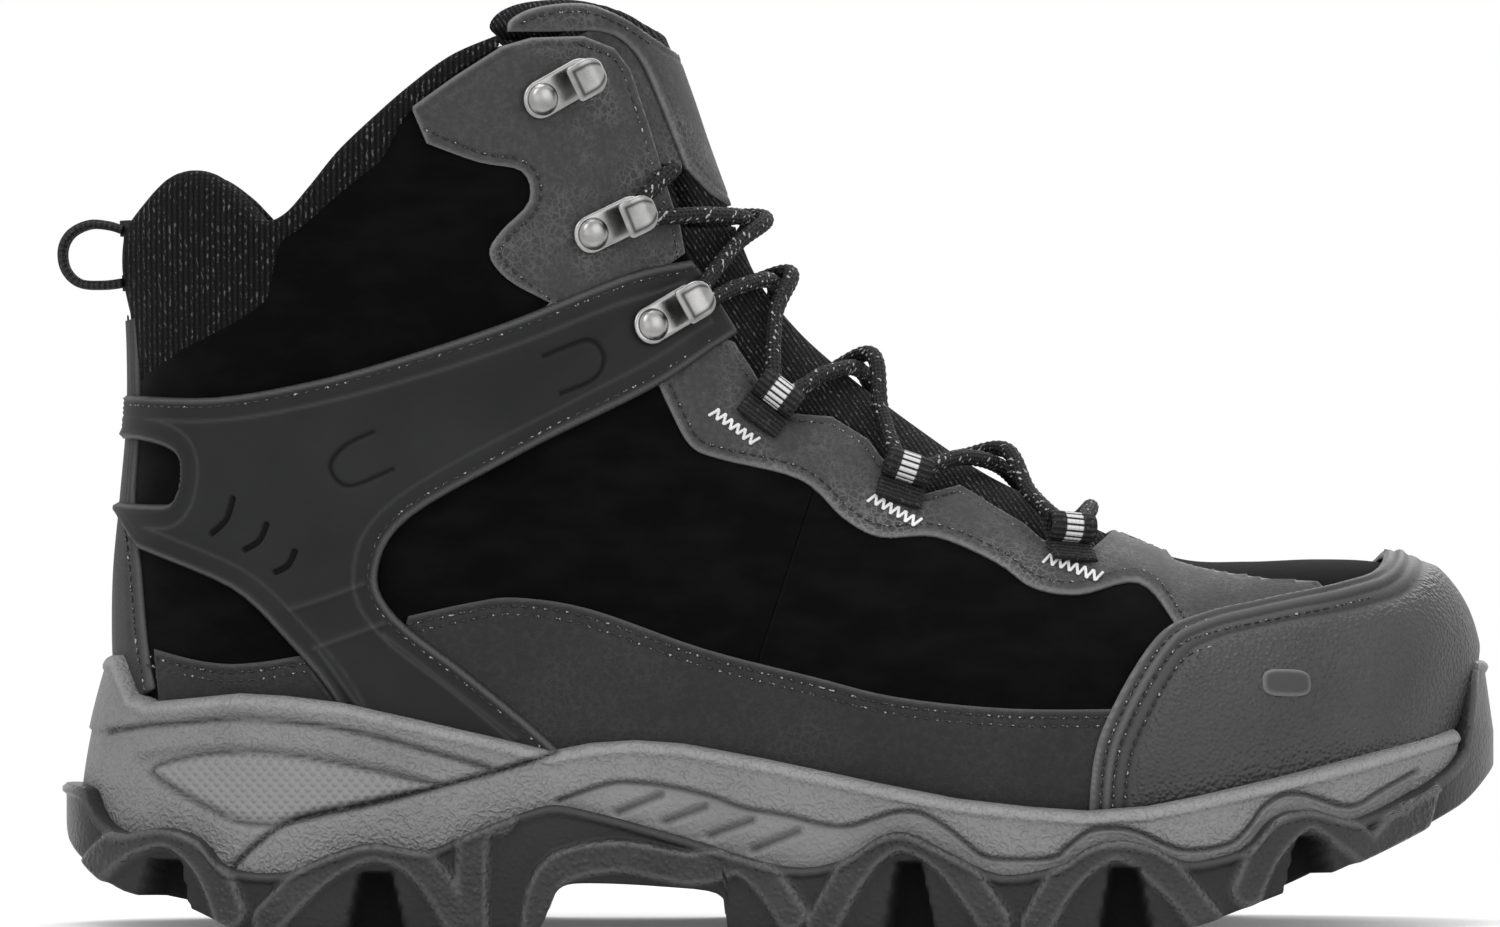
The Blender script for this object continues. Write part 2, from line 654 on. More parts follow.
def triangulate(outline, spacing, zone=edgeZone, carvings=()):
    loop = densify(outline, spacing)
    keep = [0]
    for k in range(1, len(loop)):
        if np.linalg.norm(loop[k] - loop[keep[-1]]) > 0.2:
            keep.append(k)
    border = loop = loop[keep]
    fine = hexGrid(loop, spacing)
    away = gapTo(fine, border)
    fine = fine[(away > spacing * 0.55) & (away < zone)]
    coarse = hexGrid(loop, spacing * 2.1)
    coarse = coarse[gapTo(coarse, border) >= zone]
    points = np.vstack([fine, coarse])
    if len(carvings):
        drawn = np.vstack([evenly(smooth(path, 8), 0.25) for path in carvings])
        close = hexGrid(loop, 0.36)
        close = close[(gapTo(close, drawn) < 1.5) & (gapTo(close, border) > 0.3)]
        points = np.vstack([points[gapTo(points, drawn) > 1.7], close])
    points = np.vstack([border, points])
    edges = [(k, (k + 1) % len(loop)) for k in range(len(loop))]
    made = delaunay_2d_cdt([Vector(p) for p in points], edges, [], 1, 1e-4)
    flat = np.array([list(v) for v in made[0]])
    faces = [list(f) for f in made[2]]
    used = sorted({v for f in faces for v in f})
    index = {v: k for k, v in enumerate(used)}
    return flat[used], [[index[v] for v in f] for f in faces], border


def panel(name, finish, outline, base, height, spacing=1.0, side=-1, chart="side",
          depth=0.6, marks=None, zone=edgeZone, carvings=()):
    outline = np.asarray(outline, float)
    if chart == "side":
        flat, faces, border = triangulate(outline, spacing, zone, carvings)
        u, c = fromSide(flat)
        bu, bc = fromSide(border)
        if side > 0:
            c, bc = 2 - c, 2 - bc
    else:
        half = densify(outline, spacing)
        hu, hc = fromSide(half)
        half = toTop(hu, hc)
        half[:, 1] = np.minimum(half[:, 1], 0)
        halfFlat, halfFaces, border = triangulate(half, spacing, zone)
        keep = np.abs(halfFlat[:, 1]) < 0.02
        halfFlat[keep, 1] = 0
        border = border[border[:, 1] < -0.05]
        index = np.arange(len(halfFlat))
        mirrored = index + len(halfFlat)
        mirrored[keep] = index[keep]
        order = np.cumsum(~keep) - 1 + len(halfFlat)
        mirrored[~keep] = order[~keep]
        flat = np.vstack([halfFlat, halfFlat[~keep] * [1, -1]])
        faces = halfFaces + [[int(mirrored[v]) for v in reversed(f)] for f in halfFaces]
        border = np.vstack([border, border * [1, -1]])
        u, c = fromTop(flat)
        bu, bc = fromTop(border)
    points, normals = skin(u, c), skinNormal(u, c)
    rim = skin(bu, bc)
    gap = gapTo(points, rim)
    facing = 0
    for f in faces[::max(len(faces) // 40, 1)]:
        a, b, d = points[f[0]], points[f[1]], points[f[2]]
        facing += np.sign(np.dot(np.cross(b - a, d - a), normals[f[0]]))
    if facing < 0:
        faces = [f[::-1] for f in faces]
    rise = height(gap, points)
    extra = marks(gap, points) if marks else {}
    extra.setdefault("edge", bell(gap, 0.5))
    top = points + normals * (base + rise)[:, None]
    bottom = points + normals * (base - depth)
    verts, allFaces = closeSheet(top, bottom, faces)
    both = {k: np.concatenate([v, v * 0]) for k, v in extra.items()}
    return makeMesh(name, verts, allFaces, finish, both)


def edged(thickness, radius=0.7, channels=(), puff=0.0):
    def height(gap, points):
        t = np.clip(gap / radius, 0, 1)
        h = thickness * (0.45 + 0.55 * np.sqrt(1 - (1 - t) ** 2))
        for place, depth in channels:
            h = h - depth * bell(gap - place, 0.45)
        return h + puff * step(gap, 0.5, 6)
    return height


# Rows of small repeated forms along paths: stitches, bartacks and webbing ribs
def rowTree():
    tree = bpy.data.node_groups.new("rowOfForms", "GeometryNodeTree")
    face = tree.interface
    face.new_socket("Geometry", in_out="INPUT", socket_type="NodeSocketGeometry")
    sizes = {}
    for name in ("Spacing", "Length", "Width", "Height"):
        sizes[name] = face.new_socket(name, in_out="INPUT", socket_type="NodeSocketFloat")
    face.new_socket("Finish", in_out="INPUT", socket_type="NodeSocketMaterial")
    face.new_socket("Geometry", in_out="OUTPUT", socket_type="NodeSocketGeometry")

    def add(kind, links=None, **settings):
        made = tree.nodes.new(kind)
        for key, value in settings.items():
            setattr(made, key, value)
        for key, value in (links or {}).items():
            if isinstance(value, bpy.types.NodeSocket):
                tree.links.new(value, made.inputs[key])
            else:
                made.inputs[key].default_value = value
        return made

    source = add("NodeGroupInput").outputs
    curve = add("GeometryNodeMeshToCurve", {"Mesh": source["Geometry"]}).outputs[0]
    points = add("GeometryNodeCurveToPoints", {"Curve": curve, "Length": source["Spacing"]},
                 mode="LENGTH").outputs
    facing = add("GeometryNodeInputNamedAttribute", {"Name": "facing"},
                 data_type="FLOAT_VECTOR").outputs["Attribute"]
    along = add("FunctionNodeAlignRotationToVector", {"Vector": points["Tangent"]},
                axis="X").outputs[0]
    upright = add("FunctionNodeAlignRotationToVector", {"Rotation": along, "Vector": facing},
                  axis="Z", pivot_axis="X").outputs[0]
    size = add("ShaderNodeCombineXYZ", {"X": source["Length"], "Y": source["Width"],
                                        "Z": source["Height"]}).outputs[0]
    ball = add("GeometryNodeMeshUVSphere", {"Segments": 6, "Rings": 4, "Radius": 0.5}).outputs[0]
    form = add("GeometryNodeTransform", {"Geometry": ball, "Scale": size}).outputs[0]
    rows = add("GeometryNodeInstanceOnPoints", {"Points": points["Points"], "Instance": form,
                                                "Rotation": upright}).outputs[0]
    whole = add("GeometryNodeRealizeInstances", {"Geometry": rows}).outputs[0]
    painted = add("GeometryNodeSetMaterial", {"Geometry": whole,
                                              "Material": source["Finish"]}).outputs[0]
    add("NodeGroupOutput", {"Geometry": painted})
    return tree


def formRows(name, rows, finish, spacing, length, width, height):
    verts, edges, facing = [], [], []
    for points, normals in rows:
        start = len(verts)
        verts += (np.asarray(points) * mm).tolist()
        facing += np.asarray(normals).tolist()
        edges += [(start + k, start + k + 1) for k in range(len(points) - 1)]
    mesh = bpy.data.meshes.new(name)
    mesh.from_pydata(verts, edges, [])
    layer = mesh.attributes.new("facing", "FLOAT_VECTOR", "POINT")
    layer.data.foreach_set("vector", np.asarray(facing, np.float32).ravel())
    guide = bpy.data.objects.new(name + "Guide", mesh)
    bpy.context.scene.collection.objects.link(guide)
    modifier = guide.modifiers.new("rows", "NODES")
    modifier.node_group = rowForms
    given = {"Spacing": spacing * mm, "Length": length * mm, "Width": width * mm,
             "Height": height * mm, "Finish": finishes[finish]}
    for item in rowForms.interface.items_tree:
        if item.in_out == "INPUT" and item.name in given:
            modifier[item.identifier] = given[item.name]
    graph = bpy.context.evaluated_depsgraph_get()
    made = bpy.data.meshes.new_from_object(guide.evaluated_get(graph))
    bpy.data.objects.remove(guide)
    made.polygons.foreach_set("use_smooth", [True] * len(made.polygons))
    piece = bpy.data.objects.new(name, made)
    bpy.context.scene.collection.objects.link(piece)
    return piece


def onSkin(path, side, lift, spacing=1.0):  # a side-view path laid on the boot
    path = evenly(path, spacing)
    u, c = fromSide(path)
    c = 2 - c if side > 0 else c
    normals = skinNormal(u, c)
    return skin(u, c) + normals * lift, normals


def stitch(name, paths, side, lift, body="boot", slot="leather"):
    size = threadSize
    rows = [onSkin(p, side, lift) for p in paths]
    piece = formRows(name, rows, "thread", size["spacing"], size["length"], size["width"],
                     size["height"])
    place(piece, body, slot)
    return piece


threadSize = {"spacing": 2.3, "length": 1.75, "width": 0.55, "height": 0.5}

layers = {"overlayDepth": 1.2, "bandDepth": 1.6}

lateral, medial = -1, 1
sides = [(lateral, "Lateral"), (medial, "Medial")]

collarSeam = [[-152, 134], [-141.5, 134], [-129.5, 140], [-115.5, 146.5], [-104, 153],
              [-91.5, 165], [-83, 172.5], [-80, 178.5]]
eyestayBack = [[-79.5, 179], [-70.5, 185.5], [-60.5, 192]]
eyestayFront = [[-53.5, 193.5], [-42.5, 194], [-36, 191.5], [-32.5, 187], [-28, 173.5],
                [-24, 160], [-21.5, 152.5]]
throat = [[-21.5, 152.5], [-18, 145.5], [-9.5, 128], [-5.5, 122], [0, 112.5], [12, 111.5],
          [20, 106.5], [24, 101], [32, 94.5], [40, 96.5], [54, 88], [58, 84.5], [68, 82],
          [74.5, 87]]
vampSeam = [[12, 111.5], [8, 96], [-4, 60], [-12, 20]]


def moved(path, dx, dz):
    return [[p[0] + dx, p[1] + dz] for p in path]


def twin(name, cad, slot, make):  # the same piece on both sides
    for side, word in sides:
        piece = make(name + word, side)
        place(piece, "boot", slot, [cad + "_" + word.lower()])


suedePiece = {
    "outline": moved(collarSeam, 0, -0.5) + moved(eyestayBack, 0.5, -0.5) + eyestayFront
    + throat[1:5] + vampSeam + [[-152, 20]],
    "thickness": 1.0,
}


def makeQuarters():
    print("quarters")
    twin("quarter", "quarter", "suede", lambda name, side: panel(
        name, "suede", suedePiece["outline"], -1.0, edged(suedePiece["thickness"]), 1.1,
        side=side))


vampPiece = {
    "outline": throat[5:14] + [[76, 95], [170, 95], [170, 20]]
    + moved(vampSeam[3:0:-1], 0.3, 0),
    "gusset": moved(throat, 0.25, 0.25) + [[80, 100], [30, 135], [4, 158], [-10, 153]],
}


def makeVamp():
    print("vamp")
    piece = panel("vampSuede", "suede", vampPiece["outline"], -1.0, edged(1.0), 1.1, chart="top")
    place(piece, "boot", "suede", ["vamp"])
    piece = panel("gussetMesh", "mesh", vampPiece["gusset"], -1.4, edged(1.0), 1.1, chart="top")
    place(piece, "boot", "gusset_mesh", ["gusset"])


eyestayPiece = {
    "outline": [[-79, 177.5]] + moved(eyestayBack, 0.5, -0.5) + eyestayFront
    + [[-20.5, 147], [-30, 140], [-46, 130], [-56, 130]]
    + smooth([[-49.5, 136], [-58.5, 141], [-62.5, 146.5], [-60, 151.5], [-54, 158],
              [-55.5, 164.5], [-65, 166.5], [-76, 170.5]], 4).tolist(),
    "rows": [2.1],
}


def makeEyestays():
    print("eyestays")
    outline = eyestayPiece["outline"]
    shape = edged(layers["overlayDepth"], channels=[(2.1, 0.3)], puff=0.15)
    twin("eyestay", "eyestay", "leather", lambda name, side: panel(
        name, "leather", outline, 0.2, shape, 0.6, side=side))
    front = smooth(eyestayFront[1:] + [[-20.5, 147]], 4)
    lower = smooth([[-46, 131.5], [-58.5, 141], [-62.5, 146.5], [-60, 151.5], [-54, 158],
                    [-55.5, 164.5], [-65, 166.5], [-77, 171.5]], 4)
    for side, word in sides:
        paths = [shifted(front, -gap) for gap in eyestayPiece["rows"]]
        paths += [shifted(lower, -gap) for gap in eyestayPiece["rows"]]
        stitch("eyestayStitches" + word, paths, side, 1.35)


overlayEdge = smooth([[-26, 118.5], [-23.5, 113], [-19, 105], [-12.5, 102], [5, 97.5],
                      [14.5, 89], [22.5, 85], [34.5, 85], [47.5, 79.5], [55.5, 74],
                      [65.5, 72.5], [78.5, 75], [86, 66.5], [90, 58]], 5)
overlayPiece = {
    "outline": overlayEdge.tolist() + [[100, 62], [114, 69], [121, 72], [117.5, 74.8],
                                      [108, 75.2], [98, 76.6], [91, 78], [87, 79.3],
                                      [84.5, 82], [82, 90], [76, 90]]
    + moved(throat[13:1:-1], -0.3, -0.6) + [[-16, 130]],
    "rows": [2.0],
}


def makeVampOverlays():
    print("vamp overlays")
    shape = edged(layers["overlayDepth"], channels=[(2.0, 0.3)], puff=0.15)
    twin("vampOverlay", "vamp_overlay", "leather", lambda name, side: panel(
        name, "leather", overlayPiece["outline"], 0.2, shape, 0.6, side=side))
    upper = np.array(moved(throat[3:13], -0.3, -0.6))
    for side, word in sides:
        paths = [shifted(overlayEdge[2:-3], gap) for gap in overlayPiece["rows"]]
        paths += [shifted(upper, -1.9)]
        stitch("overlayStitches" + word, paths, side, 1.35)


mudguardTop = smooth([[-80, 68], [-66, 71], [-56.5, 72], [-40.5, 69.5], [-16, 61], [7.5, 55],
                      [26, 50.5], [51, 48], [78, 48]], 5)
mudguardPiece = {
    "outline": mudguardTop.tolist() + [[76, 15], [-80, 25], [-88, 40]],
    "rows": [1.8, 3.6],
}


def makeMudguards():
    print("mudguards")
    shape = edged(layers["overlayDepth"], channels=[(1.8, 0.22), (3.6, 0.22)], puff=0.1)
    twin("mudguard", "mudguard", "leather", lambda name, side: panel(
        name, "guard", mudguardPiece["outline"], 0.2, shape, 0.65, side=side))
    for side, word in sides:
        paths = [shifted(mudguardTop, -gap) for gap in mudguardPiece["rows"]]
        stitch("mudguardStitches" + word, paths, side, 1.35)


heelPatch = smooth([[-135.5, 60.5], [-127.5, 58.5], [-120, 57.5], [-112, 58], [-103, 59.5]], 4)


def makeHeelPatches():
    print("heel patches")
    outline = heelPatch.tolist() + [[-93, 46], [-93, 34], [-133, 36], [-134, 46]]
    shape = edged(layers["overlayDepth"], channels=[(1.8, 0.22)])
    twin("heelPatch", "heel_patch", "leather", lambda name, side: panel(
        name, "guard", outline, 0.2, shape, 0.6, side=side))
    for side, word in sides:
        paths = [shifted(heelPatch, -1.8), shifted(heelPatch, -3.6)]
        stitch("heelPatchStitches" + word, paths, side, 1.35)


bandTop = smooth([[-140, 116], [-121, 115.5], [-100.5, 119], [-80.5, 124.5], [-58.5, 132],
                  [-34, 142], [-20, 145.5]], 5)
bandLow = smooth([[-15, 125.5], [-28.5, 116.5], [-54.5, 103.5], [-79.5, 89.5], [-86.5, 78],
                  [-82.5, 68], [-66, 55], [-47, 39], [-40, 28]], 5)
bandLeg = smooth([[-86, 30], [-95.5, 49.5], [-106, 62.5], [-118, 74], [-138, 82.5]], 5)
bandWindow = smooth([[-145, 106.5], [-137, 106], [-130, 103.5], [-128.5, 99], [-130, 93],
                     [-134, 92], [-145, 92.5]], 5)
bandPiece = {
    "outline": bandTop.tolist() + [[-18, 143], [-9.5, 129]] + bandLow.tolist()
    + bandLeg.tolist() + [[-145, 92.5]] + bandWindow[::-1].tolist() + [[-145, 116]],
    "slashes": [[[-117, 93.5], [-118.5, 89], [-121.5, 86]], [[-110, 88], [-111.5, 84.5],
                [-114.5, 82.5]], [[-104, 82], [-105.5, 79], [-108, 77.5]]],
    "brackets": [[[-87.5, 108], [-93.5, 105], [-96.5, 101], [-95, 97.5], [-91.5, 96.5],
                  [-83.5, 100]], [[-51.5, 124.5], [-44.5, 127.5], [-41.5, 128], [-39, 125.5],
                 [-38.5, 122.5], [-40.5, 119], [-47.5, 116]]],
    "facets": [[[-105, 69.5], [-89.5, 75]], [[-100, 61], [-85, 66.5]], [[-99, 60.5],
               [-90, 48]], [[-85, 64], [-56.5, 42]]],
}


def carved(paths, side, points):  # distance from points on the skin to drawn lines
    drawn = np.vstack([onSkin(smooth(p, 8), side, 0, 0.25)[0] for p in paths])
    return gapTo(points, drawn)


def bandShape(side):
    thickness = layers["bandDepth"]

    def height(gap, points):
        bevel = thickness * (0.35 + 0.65 * step(gap, 0.0, 1.1))
        ridge = 0.35 * step(gap, 4.6, 5.6)
        slash = carved(bandPiece["slashes"], side, points)
        bracket = carved(bandPiece["brackets"], side, points)
        facet = carved(bandPiece["facets"], side, points)
        window = carved([bandWindow], side, points)
        return (bevel + ridge - 0.2 * bell(gap - 2.1, 0.5) - 0.95 * step(0.8 - slash, 0, 0.4)
                - 0.6 * bell(bracket, 0.5) + 0.5 * bell(facet, 0.8)
                + 0.7 * bell(window - 1.4, 0.8))
    return height


def bandMarks(side):
    def marks(gap, points):
        slash = carved(bandPiece["slashes"], side, points)
        bracket = carved(bandPiece["brackets"], side, points)
        facet = carved(bandPiece["facets"], side, points)
        edge = bell(gap - 0.7, 0.5) + 0.3 * bell(gap - 5.2, 0.4) + 0.25 * bell(facet, 0.45)
        return {"edge": np.clip(edge, 0, 1),
                "groove": np.maximum(step(0.75 - slash, 0, 0.4), bell(bracket, 0.42))}
    return marks


def makeAnkleBands():
    print("ankle bands")
    twin("ankleBand", "ankle_band", "band_leather", lambda name, side: panel(
        name, "band", bandPiece["outline"], 1.5, bandShape(side), 0.62, side=side,
        marks=bandMarks(side), zone=6.4, carvings=bandPiece["slashes"] + bandPiece["brackets"]
        + bandPiece["facets"]))
    for side, word in sides:
        paths = [shifted(bandTop, -2.1), shifted(bandLow[:-6], -2.1)]
        stitch("bandStitches" + word, paths, side, 2.9, slot="band_leather")


capEdge = smooth([[67, 12], [68, 35.5], [72.5, 48.5], [82, 62.5], [91.5, 67], [108, 70.5],
                  [122.5, 73.5], [131, 76.5], [136, 84]], 5)
capPiece = {"outline": capEdge.tolist() + [[170, 84], [170, 12]], "rows": [2.2, 4.8, 7.4]}


def capShape(gap, points):
    height = layers["bandDepth"] * (0.4 + 0.6 * step(gap, 0, 0.9))
    height = height + 0.6 * bell(gap - 3.5, 0.7) + 0.7 * step(gap, 8.2, 10.5)
    for row in capPiece["rows"]:
        height = height - 0.35 * bell(gap - row, 0.45)
    return height


def capMarks(gap, points):
    rows = sum(bell(gap - row, 0.5) for row in capPiece["rows"])
    return {"field": step(gap, 8.2, 9.2), "groove": np.clip(rows, 0, 1),
            "edge": np.clip(bell(gap - 0.3, 0.5) + 0.35 * bell(gap - 3.5, 0.5), 0, 1)}


def makeToeCap():
    print("toe cap")
    piece = panel("toeCap", "toe", capPiece["outline"], 1.5, capShape, 0.75, chart="top",
                  marks=capMarks, zone=9.5)
    place(piece, "boot", "toe_rubber", ["toe_cap"])
    for side, word in sides:
        paths = [shifted(capEdge[3:-8], -row) for row in capPiece["rows"]]
        stitch("toeCapStitches" + word, paths, side, 3.15, slot="toe_rubber")


# The sole is built round its plan: stations run round it, rows run up its wall
solePlan = [[-156, 0], [-152, -18], [-140, -31], [-122, -39.5], [-98, -43.5], [-62, -44.5],
            [-28, -45], [0, -48.5], [30, -54], [60, -57.5], [84, -58], [108, -53],
            [128, -43.5], [144, -27], [154, -8], [158, 9], [156, 24], [146, 39], [130, 49.5],
            [108, 56], [84, 58], [58, 56], [30, 51], [0, 45.5], [-28, 43], [-62, 43.5],
            [-98, 43.5], [-122, 39.5], [-140, 31], [-152, 18]]
midsoleTop = [[-153, 59], [-146, 59], [-144, 55.5], [-141, 50.5], [-138, 49], [-127.5, 50],
              [-117.5, 51], [-107, 50.5], [-94.5, 49], [-78.5, 45.5], [-60, 41.3], [-49, 38.6],
              [-40.5, 40.3], [-31, 41], [-21, 40.3], [-3.5, 37], [20, 32], [38.5, 28.5],
              [54, 26.8], [66.5, 26], [80, 27], [90, 28.8], [109.5, 33], [129, 37.5],
              [150, 43], [158, 45]]
soleWave = smooth([[-156, 31], [-151.5, 30], [-149.5, 26], [-146.5, 22.5], [-141, 20.7],
                   [-132.5, 22], [-125, 19.5], [-119, 13.5], [-107, 12.5], [-98, 16],
                   [-88, 19], [-76, 17.5], [-67, 21], [-52, 26.5], [-43.5, 26.5], [-21, 20.5],
                   [1.5, 14], [14, 15.5], [22, 20.5], [28, 21.5], [36.5, 17.5], [48, 12.5],
                   [60.5, 14.5], [67, 18.5], [73.5, 20], [80, 18.8], [87.5, 15.5], [94, 16],
                   [101.5, 18.5], [107, 24.5], [114, 26.4], [123.5, 24], [130, 25.5],
                   [138.5, 29.5], [147, 34.5], [150.7, 39]], 4)
bumperTop = [[151.6, 46], [153.2, 54], [155, 58], [158.5, 57.5]]
treadLine = smooth([[-156, 24], [-155, 18], [-150, 13], [-142.5, 8], [-130, 5.5], [-118, 0.4],
                    [-112, 0], [-86, 0], [-60, 0], [-52, 0], [-49, 6], [-46.5, 9.5],
                    [-40, 10.2], [-25, 9.5], [-13, 8], [-10.5, 3], [-9, 0], [30, 0], [70, 0],
                    [86, 0.4], [103, 6], [123.5, 14], [145, 24], [152, 28], [158, 34]], 4)
treadLine = np.maximum(treadLine, [[-200, 0]])  # nothing goes below the ground
soleGroove = smooth([[-47.5, 28], [-37, 31.6], [-31, 32], [-23, 31], [-14.5, 29], [-7.5, 26.5],
                     [1.5, 25], [9.5, 23], [15, 22.7], [19.5, 24], [24, 25.5], [27.5, 26],
                     [31, 25.5], [35.5, 23], [40, 19.5], [43.5, 16.7], [48, 15.7], [59, 16],
                     [62.5, 18.5], [67.5, 22], [73.5, 22.5], [78, 21.5], [83.5, 19],
                     [88, 17.7], [94, 18], [99, 19.5], [102.5, 23], [105.5, 27], [109.5, 29.5],
                     [113.5, 29.7], [118, 28.5], [122.5, 27], [127, 27.2], [132, 30],
                     [140, 34]], 6)
heelGroove = smooth([[-150.5, 42.5], [-140, 44], [-132.5, 44.6], [-122.5, 45.5], [-115, 45.8],
                     [-104.5, 45], [-97, 44], [-87, 42], [-76, 39], [-62.5, 35.2]], 6)
splitLine = smooth([[-48, 38.5], [-61, 34.5], [-74, 31], [-89.5, 27.5], [-105, 24],
                    [-114, 18], [-119, 13], [-120, 10]], 6)
lensShape = smooth([[-138, 34.6], [-132.5, 36.6], [-125, 38], [-117.5, 38.5], [-107, 38],
                    [-97, 36.5], [-87, 34.5], [-78.5, 32.6], [-73.5, 31.4], [-82, 28.6],
                    [-92, 26.2], [-102.5, 24], [-110, 23], [-116, 23.2], [-122.5, 25.5],
                    [-129.5, 29], [-135, 32]], 5, loop=True)
slopeShape = smooth([[-143, 36.5], [-134, 39.5], [-118.5, 40.7], [-102.5, 39.7], [-87, 36.7],
                     [-74.5, 32.5], [-82, 27.6], [-102.5, 22.8], [-116, 21.8], [-131, 27.6]],
                    5, loop=True)
slashLines = [[[-34.5, 25.5], [-25.5, 29.3]], [[-24.5, 23.5], [-16, 26.7]],
              [[-15, 20.5], [-6, 23.8]], [[-5.5, 17.5], [4, 21.5]]]
archLegs = [[[-149, 12], [-142.5, 18], [-132, 21.3], [-123.5, 15], [-118.5, 4]],
            [[-110, 2.5], [-98.5, 13.5], [-87, 18.4], [-76.5, 13.5], [-68, 1]],
            [[10, 2], [18.5, 15.8], [27, 20.8], [37, 15.5], [47, 2.5]],
            [[56, 2], [63, 13], [73.5, 19.2], [84, 12], [92, 3]],
            [[101, 9], [106, 19], [114.5, 25.6], [123, 20.5], [128, 16.5]],
            [[139.5, 29.5], [137, 21]], [[134, 22.5], [129.5, 17.5]],
            [[-66, 1], [-65.5, 21.5], [-60, 24]], [[-8, 16], [-2.5, 11.5], [3, 4]],
            [[-52, 2], [-50.5, 9], [-46, 14], [-34, 16], [-18, 13.5], [-8, 16]]]
windows = [[[-140, 4], [-137, 15.5], [-129.5, 15.5], [-127, 2]],
           [[-94, -1], [-90.5, 13], [-83.5, 13], [-80, -1]],
           [[22.5, -1], [25.5, 15.5], [31, 15.5], [34.5, -1]],
           [[68.5, -1], [71.5, 14.5], [78, 14.5], [81.5, -1]],
           [[108.5, 5], [112, 21], [118, 21], [121.5, 9]]]
soleSettings = {"step": 0.85, "wallRows": 44, "rubberRows": 36, "rim": 2.4, "window": 8.5,
                "rib": 2.0, "edge": 0.9}

ringPath = evenly(smooth(solePlan, 12, loop=True), soleSettings["step"], loop=True)
ringTangent = unit(np.roll(ringPath, -1, 0) - np.roll(ringPath, 1, 0))
ringOut = np.stack([ringTangent[:, 1], -ringTangent[:, 0]], 1)


def lineAt(line, x):
    line = np.asarray(line, float)
    return np.interp(x, line[:, 0], line[:, 1])


def ringGrid(rows):  # rows of (inset, height) arrays to points; columns close up
    x = ringPath[:, 0][None, :] - ringOut[:, 0][None, :] * rows[:, :, 0]
    y = ringPath[:, 1][None, :] - ringOut[:, 1][None, :] * rows[:, :, 0]
    return np.stack([x, y, rows[:, :, 1]], 2)


def ringFaces(rowCount):
    n = len(ringPath)
    return [[r * n + k, r * n + (k + 1) % n, (r + 1) * n + (k + 1) % n, (r + 1) * n + k]
            for r in range(rowCount - 1) for k in range(n)]


def flatGap(points, path, spacing=0.3):
    return gapTo(points, evenly(path, spacing))


def rubberTop(x):
    return np.where(x > 150.7, lineAt([[150.7, 39]] + bumperTop, x), lineAt(soleWave, x))


def heelLean(x, z):  # the foam wall leans in above the heel lug
    return step(-x, 128, 150) * (1.5 + np.clip(z - 31, 0, 30) * 0.22)


